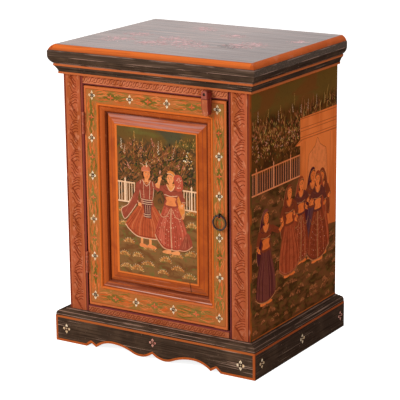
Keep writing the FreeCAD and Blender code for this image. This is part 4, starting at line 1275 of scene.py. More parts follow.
frame_canvas.hang("door", "door_paint")

# %% [markdown]
# ## Flowers of the plinth
# Small flowers of a few dots stand at the ends and in the middle of the plinth's faces. The ones
# in the middle of the front and at the back of the sides are pink.

# %% Paint the plinth's flowers
pink_paint = pigment("pink_paint", "#eaa794", "#d98c7c", mottle=0.2)
flowers = Canvas("plinth_flowers_front", (0, PLINTH_FACE, 0), **FRONT)
for x, z, size, petals in ((-207.6, 28, 7.4, cream_paint), (1.3, 35, 6.6, pink_paint),
        (202, 25.5, 7.6, cream_paint)):
    rosette(flowers, x, z, size, rng, petals, spread=0.8)
flowers.hang("case", "black_lacquer")
for word, way, side in (("right", RIGHT_SIDE, 1), ("left", LEFT_SIDE, -1)):
    flowers = Canvas(f"plinth_flowers_{word}", (side * PLINTH_SIDE, 0, 0), **way)
    for y, petals in ((-158, cream_paint), (4, cream_paint), (168, pink_paint)):
        rosette(flowers, y * side, 27, 7.4, rng, petals, spread=0.82)
    flowers.hang("case", "black_lacquer")

# %% [markdown]
# ## Ghosts of flowers on the top
# Loose sprays once covered the top. They were rubbed away nearly to the ground, so the dabs that
# are left are thin, red-pink and broken, and they share the varnish of the board. Each spray is
# a haze of flat dabs, petals spread over it, and a few whole flowers.

# %% Paint the worn sprays of the top
def ghost_paint(name, *codes):
    return pigment(name, *codes, mottle=0.5, gloss=0.25, varnish=0.4)


ghost_pink = ghost_paint("ghost_pink", "#b07272", "#a06666", "#be8484", "#92605e")
ghost_red = ghost_paint("ghost_red", "#9c4e4c", "#8e4846", "#a85a58")
ghost_haze = ghost_paint("ghost_haze", "#86605a", "#7e5852", "#906862")
ghost_dark = ghost_paint("ghost_dark", "#2f2220", "#3c2c28")
WORN_SPRAYS = ((-20, -40, 42), (24, -64, 34), (-62, -76, 30), (-56, -9, 26), (122, -8, 34), (110, -26, 28),
        (-150, -66, 32), (-143, 0, 26), (186, 70, 18), (-57, 112, 26), (40, 70, 20))


def around(x, y, angle, away):
    """A place round the middle of a spray, which is a little wider than deep."""
    return x + 1.1 * away * math.cos(angle), y + 0.9 * away * math.sin(angle)


def worn_spray(canvas, x, y, size, rng):
    for _ in range(int(size * 0.7)):
        angle, away = rng.uniform(0, math.tau), size * rng.uniform(0, 1.0)
        canvas.leaf(ghost_haze, *around(x, y, angle, away), rng.uniform(-20, 20), rng.uniform(12, 24),
                rng.uniform(2.5, 5))
    for _ in range(int(size ** 2 * 0.055)):
        angle, away = rng.uniform(0, math.tau), size * rng.uniform(0.1, 1.0) ** 0.6
        canvas.leaf(rng.choice((ghost_pink, ghost_pink, ghost_red)), *around(x, y, angle, away),
                math.degrees(angle) + rng.uniform(-60, 60), rng.uniform(5, 13), rng.uniform(1.6, 3.4))
    for _ in range(2 + int(size / 7)):
        angle, away = rng.uniform(0, math.tau), size * rng.uniform(0, 0.8)
        a, b = around(x, y, angle, away)
        for k in range(6):
            canvas.leaf(ghost_pink, a, b, 60 * k + rng.uniform(-10, 10), rng.uniform(6.5, 9), 4.2)
        canvas.dot(ghost_red, a, b, 1.9, sides=7)


top_canvas = Canvas("top_flowers", (0, 0, TOP_FACE), (1, 0, 0), (0, 1, 0), rise=0.03)
for x, y, size in WORN_SPRAYS:
    worn_spray(top_canvas, x, y, size, rng)
for _ in range(30):
    top_canvas.leaf(ghost_dark, rng.uniform(66, 112), rng.uniform(-64, -22), rng.uniform(-20, 20),
            rng.uniform(8, 26), rng.uniform(1.6, 3.4))
top_canvas.hang("case", "top_lacquer")

# %% [markdown]
# ## Things that grow in the painted garden
# The pictures are a traditional court garden. Its parts repeat: fans of leaf dabs, upright
# sprays, low tufts of grass and a pale fence. Each is a short function, and chance varies every
# dab a little, as a hand does.

# %% Shrubs, sprays, tufts and fences
leaf_brown = pigment("leaf_brown", "#8a5230", "#a0603c", "#664024", "#ac6e48")
leaf_rust = pigment("leaf_rust", "#9c562c", "#b4663c", "#784226", "#c6744a")
leaf_green = pigment("leaf_green", "#4f4b22", "#3d3c22", "#6b6228", "#33331f")
leaf_deep = pigment("leaf_deep", "#2f3228", "#3c3722", "#463220")
leaf_gold = pigment("leaf_gold", "#bd8642", "#d69c58", "#a9682f")
blossom = pigment("blossom", "#d98468", "#e39a80", "#c96a52", mottle=0.15)
tuft_paint = pigment("tuft_paint", "#dc9450", "#eaae6c", "#cf7c3e", mottle=0.2)
fence_paint = pigment("fence_paint", "#f4c096", "#eab084", "#f8cba4", mottle=0.12)


def shrub(canvas, paints, a, b, reach, leaves, rng, low=5, high=175, size=(6.5, 2.2)):
    """A fan of leaf dabs that spreads from one place between two angles."""
    for _ in range(leaves):
        angle = rng.uniform(low, high)
        away = reach * rng.uniform(0.08, 1.0) ** 0.65
        canvas.leaf(rng.choice(paints), a + away * math.cos(math.radians(angle)),
                b + away * math.sin(math.radians(angle)) * 0.9, angle + rng.uniform(-12, 12),
                size[0] * rng.uniform(0.65, 1.25), size[1] * rng.uniform(0.7, 1.2))


def spray(canvas, paint, a, b, tall, lean, rng):
    """A flowering stalk: dabs on both sides that get smaller towards the tip."""
    for k in range(9):
        t = k / 8
        side = 1 if k % 2 else -1
        canvas.leaf(paint, a + lean * t, b + tall * t, 90 + side * (38 - 26 * t) - lean * 2,
                4.6 - 2.4 * t, rng.uniform(1.2, 1.8))


def tuft(canvas, a, b, wide, tall, rng, body=tuft_paint, tips=cream_paint):
    """A low dome of grass. Its dabs lean outwards, and every other one has a pale tip."""
    for k in range(15):
        t = -1 + k / 7
        angle = 90 - 58 * t + rng.uniform(-8, 8)
        u, v = a + wide * 0.42 * t, b + tall * 0.55 * (1 - t * t)
        long = tall * rng.uniform(0.42, 0.62)
        canvas.leaf(body, u, v, angle, long, 1.7)
        if k % 2:
            c, s = math.cos(math.radians(angle)), math.sin(math.radians(angle))
            canvas.leaf(tips, u + long * 0.75 * c, v + long * 0.75 * s, angle, 2.2, 1.1)
    for k in range(7):
        t = -0.9 + 0.3 * k
        canvas.leaf(body, a + wide * 0.34 * t, b + tall * 0.1, 90 - 46 * t, tall * 0.5, 1.6)


def fence(canvas, start, end, foot, head, posts, gap, paint=fence_paint):
    """Two rails, slim bars between them, and posts with pointed knobs."""
    bar = start + gap / 2
    while bar < end:
        canvas.line(paint, [(bar, foot), (bar, head)], 1.7)
        bar += gap
    for level in (foot, head):
        canvas.line(paint, [(start, level), (end, level)], 3.0)
    for post in posts:
        canvas.line(paint, [(post, foot - 1), (post, head + 4)], 3.2)
        canvas.leaf(paint, post, head + 2, 90, 9, 4.6)


trial = Canvas("trial", (0, 0, 0), **FRONT)
shrub(trial, (leaf_brown, leaf_rust), 0, 0, 40, 60, random.Random(0))
print("a shrub of 60 dabs has", len(trial.faces), "faces")

# %% [markdown]
# ## Figures
# A painter of such panels draws every figure by one recipe: bare feet, a wide pleated skirt with
# a pale hem, a tight jacket, two arms, a head, and a turban or a veil. A few pots of cloth paint
# serve them all. Each cloth has a darker pot for its folds, so pleats show from far off.

# %% Cloth and skin
skin_paint = pigment("skin_paint", "#ee8a50", "#f49a5e", mottle=0.15)
buff_paint = pigment("buff_paint", "#eab892", "#dca27a", mottle=0.15)
terracotta = pigment("terracotta_cloth", "#be5734", mottle=0.3)
terracotta_fold = pigment("terracotta_fold", "#9c442a", "#d0744a", "#ac4e32")
rose = pigment("rose_cloth", "#c2573f", mottle=0.25)
rose_fold = pigment("rose_fold", "#a24230", "#d27156", "#b24d3a")
dark_red = pigment("dark_red_cloth", "#a24c38", mottle=0.3)
dark_red_fold = pigment("dark_red_fold", "#7a3626", "#bc6a4c")
plum = pigment("plum_cloth", "#6e3a36", mottle=0.35)
plum_fold = pigment("plum_fold", "#51282a", "#844b44")
gold_cloth = pigment("gold_cloth", "#ee9a54", "#e68a44", mottle=0.2)
blue_cloth = pigment("blue_cloth", "#67403f", "#5c3f48")
print("pots for the figures:", sum("cloth" in m.name or "fold" in m.name for m in bpy.data.materials))

# %% [markdown]
# ## One figure, from the feet up
# What lies behind is painted first: feet, veil, skirt, pleats and hem, then the jacket and its
# trimmings, the arms and at last the head. Places are shares of the height, so one recipe fits
# every size, and a figure that faces the other way is the same recipe mirrored. The faces are
# plain and calm, with the eyes halfway up the head.

# %% A figure in court dress
class Figure:
    """One figure. Its places are shares of its height, across from its middle and up."""

    def __init__(self, canvas, a, foot, tall, rng, cloth=terracotta, fold=terracotta_fold, jacket=dark_red,
            facing=1, skirt=0.56, hem_low=0.06, hem_side=0.2, turban=False, veil=rose, dotted=False,
            hands=((-0.13, 0.52), (0.2, 0.78)), skin=skin_paint, trim=buff_paint, collar=gold_cloth):
        self.canvas, self.a, self.foot, self.tall, self.rng = canvas, a, foot, tall, rng
        self.cloth, self.fold, self.jacket, self.veil = cloth, fold, jacket, veil
        self.skin, self.trim, self.collar = skin, trim, collar
        self.facing, self.turban, self.dotted, self.hands = facing, turban, dotted, hands
        self.half, self.hem_low, self.hem_side = skirt / 2, hem_low, hem_side
        self.waist = 0.55 if turban else 0.605

    def at(self, u, v):
        return self.a + self.facing * u * self.tall, self.foot + v * self.tall

    def shape(self, paint, points, pieces=4):
        self.canvas.patch(paint, flowing([self.at(*p) for p in points], True, pieces))

    def stroke(self, paint, points, width, taper=None, pieces=4):
        path = flowing([self.at(*p) for p in points], pieces=pieces)
        self.canvas.line(paint, path, width * self.tall, taper)

    def legs(self):
        for step in (-0.08, 0.04):
            self.stroke(self.skin, [(step, 0.03), (step, self.hem_low + 0.05)], 0.035)
            self.shape(self.skin, [(step - 0.03, 0.012), (step + 0.03, 0.002), (step + 0.09, 0.012),
                    (step + 0.07, 0.034), (step + 0.01, 0.05), (step - 0.03, 0.045)], 3)

    def veil_behind(self):
        """The veil hangs down behind the back to the hip, with a pale edge."""
        self.shape(self.veil, [(-0.03, 0.995), (-0.08, 0.95), (-0.115, 0.85), (-0.15, 0.72), (-0.185, 0.56),
                (-0.17, 0.45), (-0.09, 0.5), (-0.04, 0.7), (0.02, 0.85), (0.035, 0.97)])
        self.stroke(self.trim, [(-0.05, 0.985), (-0.09, 0.93), (-0.125, 0.83), (-0.16, 0.7), (-0.19, 0.56),
                (-0.168, 0.455)], 0.006)

    def hem(self):
        """The lower edge of the skirt from side to side. It sweeps up at both ends."""
        half, low = self.half, self.hem_low
        raised = self.hem_side * 0.62 + low * 0.38
        return [(-half, self.hem_side), (-half * 0.86, raised), (-half * 0.48, low + 0.012), (0, low),
                (half * 0.48, low + 0.012), (half * 0.86, raised), (half, self.hem_side)]

    def skirt(self):
        half, waist = self.half, self.waist
        self.shape(self.cloth, [(-0.075, waist), (-half * 0.55, waist - 0.09), (-half * 0.86, 0.34),
                *self.hem(), (half * 0.86, 0.34), (half * 0.55, waist - 0.09), (0.075, waist)])
        for k in range(-8, 9):
            t = k / 8
            base = self.hem_low + (self.hem_side - self.hem_low) * abs(t) ** 2.4
            self.stroke(self.fold, [(0.075 * t, waist - 0.01), (half * 0.56 * t, waist - 0.15),
                    (half * 0.88 * t, 0.28), (half * 0.96 * t, base + 0.015)],
                    0.012, (0.25, 0.6, 0.9, 1), 3)

    def dots(self):
        """Rows of printed dots, a sash down the middle and two loops at the waist."""
        rng, waist, speck = self.rng, self.waist, 0.0062 * self.tall
        for level in range(8):
            v = self.hem_low + 0.05 + 0.055 * level
            span = self.half * (0.92 - 0.085 * level)
            for k in range(-4, 5):
                across = span * k / 4.4 + rng.uniform(-0.008, 0.008)
                u, w = self.at(across, v + (self.hem_side - self.hem_low) * 0.7 * (k / 4.4) ** 2)
                self.canvas.dot(rng.choice((rose_fold, blossom, self.trim)), u, w, speck, sides=6)
        self.stroke(self.trim, [(0.0, waist - 0.04), (0.008, 0.3), (-0.004, self.hem_low)], 0.013)
        for side in (-1, 1):
            self.stroke(self.trim, [(side * 0.02, waist - 0.06), (side * 0.06, waist - 0.14),
                    (side * 0.13, waist - 0.16), (side * 0.17, waist - 0.09)], 0.007)

    def bodice(self):
        waist = self.waist
        self.shape(self.jacket, [(-0.09, waist - 0.03), (-0.082, waist + 0.07), (-0.112, 0.74),
                (-0.13, 0.79), (-0.1, 0.825), (-0.035, 0.85), (0.035, 0.85), (0.1, 0.825), (0.13, 0.79),
                (0.112, 0.74), (0.082, waist + 0.07), (0.09, waist - 0.03)])
        crease = dark_red_fold if self.jacket is dark_red else plum_fold
        for side in (-1, 1):
            for row in range(3):
                self.stroke(crease, [(side * 0.02, waist + 0.06 + 0.06 * row),
                        (side * 0.06, waist + 0.045 + 0.06 * row),
                        (side * 0.1, waist + 0.08 + 0.055 * row)], 0.006)

    def sash(self):
        """The wide plum sash of a figure with a turban, and the pale braid of the jacket."""
        trim = self.trim
        self.shape(plum, [(-0.05, 0.6), (0.06, 0.6), (0.062, 0.37), (-0.035, 0.38)], 1)
        for level, long in ((0.6, 0.085), (0.575, 0.08), (0.55, 0.075), (0.42, 0.05), (0.395, 0.05)):
            self.stroke(trim, [(-long, level), (0, level - 0.006), (long, level)], 0.008)
        for u in (-0.02, 0.01, 0.04):
            self.stroke(trim, [(u, 0.53), (u + 0.004, 0.43)], 0.006)
        for u in (-0.1, -0.045, 0.045, 0.1):
            self.stroke(trim, [(u * 0.8, 0.83), (u, 0.74), (u * 0.85, 0.61)], 0.006)

    def midriff(self):
        """The bare waist under a short jacket, and the collar over it."""
        waist = self.waist
        self.shape(self.skin, [(-0.07, waist - 0.01), (-0.058, waist + 0.04), (-0.07, waist + 0.085),
                (0.0, waist + 0.095), (0.07, waist + 0.085), (0.058, waist + 0.04),
                (0.07, waist - 0.01)], 3)
        self.stroke(self.trim, [(-0.09, waist + 0.115), (0, waist + 0.1), (0.09, waist + 0.115)], 0.008)
        self.shape(self.collar, [(-0.06, 0.85), (-0.04, 0.79), (0.0, 0.765), (0.04, 0.79), (0.06, 0.85),
                (0.0, 0.83)], 2)
        self.canvas.dot(terracotta_fold, *self.at(0.0, waist + 0.035), 0.004 * self.tall, sides=6)

    def arm(self, side, palm):
        """A sleeve to the elbow, the lower arm, a hand and two bangles."""
        shoulder = (side * 0.112, 0.79)
        bend = ((shoulder[0] + palm[0]) / 2 + side * 0.05, (shoulder[1] + palm[1]) / 2 - 0.06)
        self.stroke(self.jacket, [shoulder, bend], 0.072, (1.0, 0.8), 2)
        cuff = [(bend[0] - 0.028, bend[1] + 0.02), (bend[0] + 0.028, bend[1] + 0.016)]
        self.stroke(self.trim, cuff, 0.008)
        self.stroke(self.jacket if self.turban else self.skin, [bend, palm], 0.046, (1, 0.7), 2)
        u, v = self.at(*palm)
        self.canvas.dot(self.skin, u, v, 0.027 * self.tall, 0.024 * self.tall, 8)
        self.canvas.leaf(self.skin, u, v, 60 if palm[1] > 0.6 else -50, 0.05 * self.tall, 0.02 * self.tall)
        for share in (0.5, 0.72):
            wrist = [bend[i] + (palm[i] - bend[i]) * share for i in (0, 1)]
            self.canvas.dot(self.trim, *self.at(*wrist), 0.009 * self.tall, sides=6)

    def neck(self):
        """A necklace, the edge of the collar and the neck."""
        self.stroke(self.trim, [(-0.06, 0.84), (0.0, 0.765), (0.06, 0.84)], 0.007)
        self.stroke(self.collar, [(-0.045, 0.84), (0.0, 0.795), (0.045, 0.84)], 0.007)
        self.stroke(self.skin, [(0, 0.815), (0, 0.88)], 0.05)

    def face(self, u, v):
        """Dark hair, a plain oval, two calm eyes with brows, a small nose and a mouth."""
        canvas, tall, facing = self.canvas, self.tall, self.facing
        self.shape(ink_paint, [(-0.056, 0.88), (-0.056, 0.955), (0.0, 0.992), (0.052, 0.965), (0.046, 0.915),
                (-0.02, 0.86)])
        canvas.dot(self.skin, u, v, 0.048 * tall, 0.064 * tall, 14)
        for side in (-1, 1):
            eye = u + facing * (0.006 + side * 0.019) * tall
            canvas.dot(self.trim, eye, v + 0.002 * tall, 0.010 * tall, 0.0055 * tall, 8)
            canvas.dot(ink_paint, eye, v + 0.002 * tall, 0.0048 * tall, sides=6)
            canvas.line(ink_paint, [(eye - 0.012 * tall, v + 0.015 * tall), (eye, v + 0.02 * tall),
                    (eye + 0.012 * tall, v + 0.015 * tall)], 0.0036 * tall)
        nose = u + facing * 0.006 * tall
        bridge = [(nose, v + 0.004 * tall), (nose + facing * 0.007 * tall, v - 0.019 * tall),
                (nose, v - 0.022 * tall)]
        canvas.line(terracotta_fold, bridge, 0.0036 * tall)
        canvas.dot(rose, nose, v - 0.035 * tall, 0.009 * tall, 0.0036 * tall, 8)

    def turban_on(self):
        self.shape(terracotta_fold, [(-0.068, 0.945), (-0.064, 0.985), (-0.015, 1.02), (0.04, 1.005),
                (0.06, 0.96), (0.03, 0.955), (-0.03, 0.94)])
        for lift in (0.947, 0.967, 0.987):
            self.stroke(blossom, [(-0.062, lift - 0.004), (0.0, lift + 0.012), (0.053, lift)], 0.008)
        self.stroke(self.trim, [(-0.03, 1.0), (-0.06, 1.03), (-0.09, 1.035)], 0.012, (1, 0.8, 0.2))
        self.stroke(cream_paint, [(0.01, 1.0), (0.0, 1.04), (0.02, 1.07)], 0.012, (1, 0.8, 0.2))

    def veil_on(self):
        self.shape(self.veil, [(-0.062, 0.88), (-0.072, 0.94), (-0.035, 1.0), (0.02, 1.008), (0.052, 0.975),
                (0.01, 0.976), (-0.034, 0.94)])
        self.stroke(self.trim, [(-0.06, 0.87), (-0.048, 0.935), (-0.012, 0.972), (0.048, 0.974)], 0.007)
        self.stroke(ink_paint, [(-0.03, 0.95), (0.0, 0.968), (0.038, 0.958)], 0.007, (0.4, 1, 0.4))

    def paint(self):
        """Paints everything in its order, from what lies behind to what lies in front."""
        self.legs()
        if not self.turban:
            self.veil_behind()
        self.skirt()
        if self.dotted:
            self.dots()
        self.stroke(self.trim, self.hem(), 0.011)
        self.stroke(dark_red_fold, [(u * 0.96, v + 0.02) for u, v in self.hem()], 0.006)
        self.bodice()
        (self.sash if self.turban else self.midriff)()
        for side, palm in zip((-1, 1), self.hands):
            self.arm(side, palm)
        self.neck()
        u, v = self.at(0.006, 0.913)
        self.face(u, v)
        (self.turban_on if self.turban else self.veil_on)()
        self.canvas.dot(rose, u, v + 0.038 * self.tall, 0.004 * self.tall, sides=6)


trial = Canvas("trial", (0, 0, 0), **FRONT)
Figure(trial, 0, 0, 160, random.Random(0)).paint()
print("a figure 160 mm tall is", len(trial.faces), "faces")

# %% [markdown]
# ## The ground of a picture
# Before anything is drawn, the field gets a ground in a few coats: mottled grass, brown behind
# the shrubs, a sky and its clouds. The edges between them waver, as if brushed wet. The door and
# the sides share this recipe and differ only in its colours and heights.

# %% Garden ground
def garden_ground(name, horizon, crown, sky, bush, grass, shade, bright, deep, cloud):
    """Grass up to the horizon, bushes up to the crown and sky over them, in millimetres."""
    finish = Finish(name, grass)
    finish.over(finish.spots((26, 26, 60), 0.42, 0.62, 4, 0.8), shade, 0.85)
    finish.over(finish.spots((60, 60, 110), 0.5, 0.66, 4, 0.5, 2.0), bright, 0.7)
    shaky = finish.shaky(finish.z, 9, 22)
    behind = finish.past(shaky, horizon - 6, horizon + 6)
    finish.over(behind, bush)
    finish.over((behind, finish.spots(46, 0.46, 0.6, 4, 1.2, 5.0)), deep, 0.85)
    above = finish.past(shaky, crown - 14, crown + 10)
    finish.over(above, sky)
    finish.over((above, finish.spots((18, 18, 40), 0.45, 0.68, 4, 0.6, 8.0)), bright, 0.5)
    finish.over((above, finish.spots((11, 11, 26), 0.5, 0.62, 3, 0.6, 18.0)), cloud, 0.6)
    finish.over(finish.spots((400, 400, 120), 0.62, 0.72, 3, 0, 6.0), "#2c2416", 0.35)
    return finish.done(0.5)


door_garden = garden_ground("door_garden_ground", horizon=306, crown=436, sky="#6c5029", bush="#7e502c",
        grass="#8a6038", shade="#744628", bright="#706c36", deep="#443a2a", cloud="#41443a")
side_garden = garden_ground("side_garden_ground", horizon=352, crown=500, sky="#725022", bush="#643a18",
        grass="#784526", shade="#422a12", bright="#6a4c22", deep="#452712", cloud="#80441f")
print("grounds:", door_garden.name, side_garden.name)

# %% [markdown]
# ## The picture of the door
# Everything is painted from far to near: the dabs of distant trees, the shrubs, the fence, the
# tufts of grass and last the two figures. The picture fills the raised field inside its orange
# frame, and a mark that would cross the frame is left out.

# %% Trees, shrubs and grass of the door
LEFT, RIGHT, FOOT, HEAD = -90.5, 91.0, 162.5, 458.5


def distant_trees(canvas, rng):
    for _ in range(130):
        canvas.leaf(rng.choice((leaf_green, leaf_gold, leaf_green)), rng.uniform(46, 88),
                rng.uniform(396, 446), rng.uniform(50, 130), rng.uniform(4, 7), 1.7)
    for _ in range(300):
        canvas.leaf(rng.choice((leaf_green, leaf_brown, leaf_deep)), rng.uniform(LEFT, RIGHT),
                rng.uniform(330, 418), rng.uniform(30, 70), rng.uniform(8, 16), rng.uniform(2.0, 3.6))


def door_shrubs(canvas, rng):
    """Dark gaps first, then the brown fans, their lit tips and the blossoms between them."""
    for a, b in ((-30, 392), (8, 372), (40, 366), (66, 372), (-76, 362), (70, 350), (30, 412)):
        shrub(canvas, (leaf_deep, leaf_deep, leaf_green), a, b, 20, 46, rng, 0, 360, (8.0, 2.6))
    for a, b, reach, leaves in ((-72, 352, 62, 65), (-46, 372, 58, 65), (-8, 385, 52, 65), (24, 378, 48, 60),
            (52, 360, 44, 50), (-14, 350, 40, 40), (74, 332, 34, 40), (-84, 388, 46, 30)):
        shrub(canvas, (leaf_brown, leaf_brown, leaf_rust, leaf_green), a, b, reach, leaves, rng, 15, 165,
              (10.0, 1.9))
    for _ in range(56):
        canvas.leaf(rng.choice((leaf_rust, leaf_gold, leaf_brown)), rng.uniform(-60, 40),
                rng.uniform(392, 432), rng.uniform(60, 120), rng.uniform(5, 8), 1.5)
    for a, b in ((-64, 378), (-39, 419), (-53, 430), (-30, 408), (5, 398), (-2, 404), (57, 386), (30, 400),
            (-20, 392), (55, 394)):
        shrub(canvas, (blossom, leaf_gold), a, b, 8, 9, rng, 0, 360, (3.6, 1.8))


def door_sprays(canvas, rng):
    for a, b, tall, lean, paint in ((-80, 412, 20, -1, cream_paint), (-74, 404, 16, 2, buff_paint),
            (5, 410, 25, 1, cream_paint), (-6, 424, 16, -4, blossom),
            (37, 405, 22, 6, buff_paint), (-62, 374, 12, -5, blossom),
            (14, 422, 16, -2, leaf_gold), (-32, 420, 18, 2, leaf_gold),
            (46, 428, 14, 1, leaf_gold), (-50, 436, 14, 0, leaf_gold)):
        spray(canvas, paint, a, b, tall, lean, rng)
    for _ in range(34):
        canvas.dot(rng.choice((cream_paint, leaf_gold, leaf_gold, buff_paint)), rng.uniform(62, 82),
                rng.uniform(388, 424), rng.uniform(0.9, 1.7), sides=6)


def door_lawn(canvas, rng):
    fence(canvas, LEFT, -50, 308, 347, (-73,), 6.0)
    fence(canvas, 60, RIGHT, 308, 346, (80,), 6.0)
    for a, b in ((-67, 223), (-18, 214), (-73, 171), (-23, 182), (19, 195), (12, 170), (73, 168), (44, 208),
            (79, 214), (-78, 195), (-78, 257), (80, 272), (80, 297), (-46, 196), (46, 182), (-48, 168),
            (-78, 284)):
        tuft(canvas, a, b, rng.uniform(22, 30), rng.uniform(10, 14), rng)


rng = random.Random(23)
picture = Canvas("door_picture", (0, PANEL_FACE, 0), **FRONT, inside=(LEFT, RIGHT, FOOT, HEAD))
picture.patch(door_garden, [(LEFT, HEAD), (LEFT, FOOT), (RIGHT, FOOT), (RIGHT, HEAD)])
for layer in (distant_trees, door_shrubs, door_sprays, door_lawn):
    layer(picture, rng)
print("garden of the door:", len(picture.faces), "faces")

# %% [markdown]
# ## The two figures of the door
# One figure wears a turban and a shawl that blows to the side, the other a dotted skirt with a
# train. Shawl and train are flat shapes with a few folds and a pale edge. The second figure lifts
# a bunched piece of dotted cloth, and a blossom stands between the two.

# %% Paint the two figures
def shawl(canvas):
    edge = [(-44, 338), (-58, 318), (-68, 302), (-83, 291), (-76, 272), (-60, 288), (-47, 306)]
    canvas.patch(dark_red, flowing(edge, True))
    canvas.line(buff_paint, flowing(edge[1:]), 1.4)
    canvas.line(dark_red_fold, flowing([(-52, 322), (-64, 304), (-74, 286)]), 1.2)


def train(canvas):
    edge = [(62, 252), (72, 262), (81, 237), (66, 226), (50, 225)]
    canvas.patch(dark_red, flowing(edge, True))
    for k in range(4):
        canvas.line(dark_red_fold, [(66 + k * 1.5, 256 - k * 2), (58 + k * 5.5, 229 + k * 1.5)], 1.2)
    canvas.line(buff_paint, flowing(edge[2:]), 1.6)


def bunched_cloth(canvas, rng):
    canvas.patch(rose, flowing([(40, 370), (50, 376), (59, 370), (61, 350), (52, 343), (44, 347)], True))
    for _ in range(30):
        canvas.dot(rng.choice((blossom, rose_fold, buff_paint)), rng.uniform(44, 57), rng.uniform(349, 370),
                rng.uniform(0.8, 1.5), sides=6)


Figure(picture, -23, 219, 164, rng, turban=True, skirt=0.62, hem_low=0.12, hem_side=0.26,
       hands=((-0.1, 0.53), (0.15, 0.8))).paint()
shawl(picture)
Figure(picture, 33, 214, 166, rng, cloth=rose, fold=rose_fold, jacket=dark_red, facing=-1, veil=gold_cloth,
       skirt=0.46, hem_low=0.055, hem_side=0.22, dotted=True, hands=((-0.14, 0.6), (0.15, 0.9))).paint()
train(picture)
bunched_cloth(picture, rng)
picture.leaf(blossom, 8, 372, 80, 9, 4)
picture.hang("door", "panel_paint")

# %% [markdown]
# ## Paint for the pictures of the sides
# The sides show the same garden from farther off, so their colours lie closer together: redder
# cloth, orange skin and an orange pavilion. The pavilion's plaster is mottled along its height.

# %% Pots for the sides
def pavilion_finish():
    finish = Finish("pavilion_paint", "#f6803e")
    finish.over(finish.spots((20, 26, 9), 0.36, 0.66, 4, 0.6), "#e06c30", 0.85)
    finish.over(finish.spots((60, 240, 20), 0.55, 0.7, 3, 0, 4.0), "#ee8850", 0.5)
    finish.over(finish.ramp(finish.z, 0.25, 0.44, 0.5, 0.0), "#c25a2b")
    return finish.done(0.5)


pavilion_paint = pavilion_finish()
doorway_paint = pigment("doorway_paint", "#f48448", mottle=0.2)
shade_paint = pigment("shade_paint", "#553526", mottle=0.4)
far_fence_paint = pigment("far_fence_paint", "#f08a58", "#f89868", "#e47c48", mottle=0.15)
far_skin_paint = pigment("far_skin_paint", "#fb7e3c", "#f27434", mottle=0.2)
far_trim_paint = pigment("far_trim_paint", "#c87c4c", "#b4683c", mottle=0.3)
far_red = pigment("far_red_cloth", "#a84628", mottle=0.4)
far_red_fold = pigment("far_red_fold", "#9c3c22", "#cc6038")
far_brown = pigment("far_brown_cloth", "#883c22", mottle=0.4)
far_plum = pigment("far_plum_cloth", "#70352a", mottle=0.45)
far_plum_fold = pigment("far_plum_fold", "#54242a", "#84443a")
seam_paint = pigment("seam_paint", "#c05c2e", "#b0522a", mottle=0.2)
edge_paint = pigment("edge_paint", "#c8642c", mottle=0.3)
print("pots of paint in all:", sum(m.use_nodes for m in bpy.data.materials))

# %% [markdown]
# ## The pictures of the sides
# Each side has a dark sky over a hedge, a fence, a pavilion with a painted doorway, and a party
# of figures on the lawn. The layout is drawn for the right side, from its front edge to its back.
# For the left side it is turned round. Thin orange lines close the picture above and below.

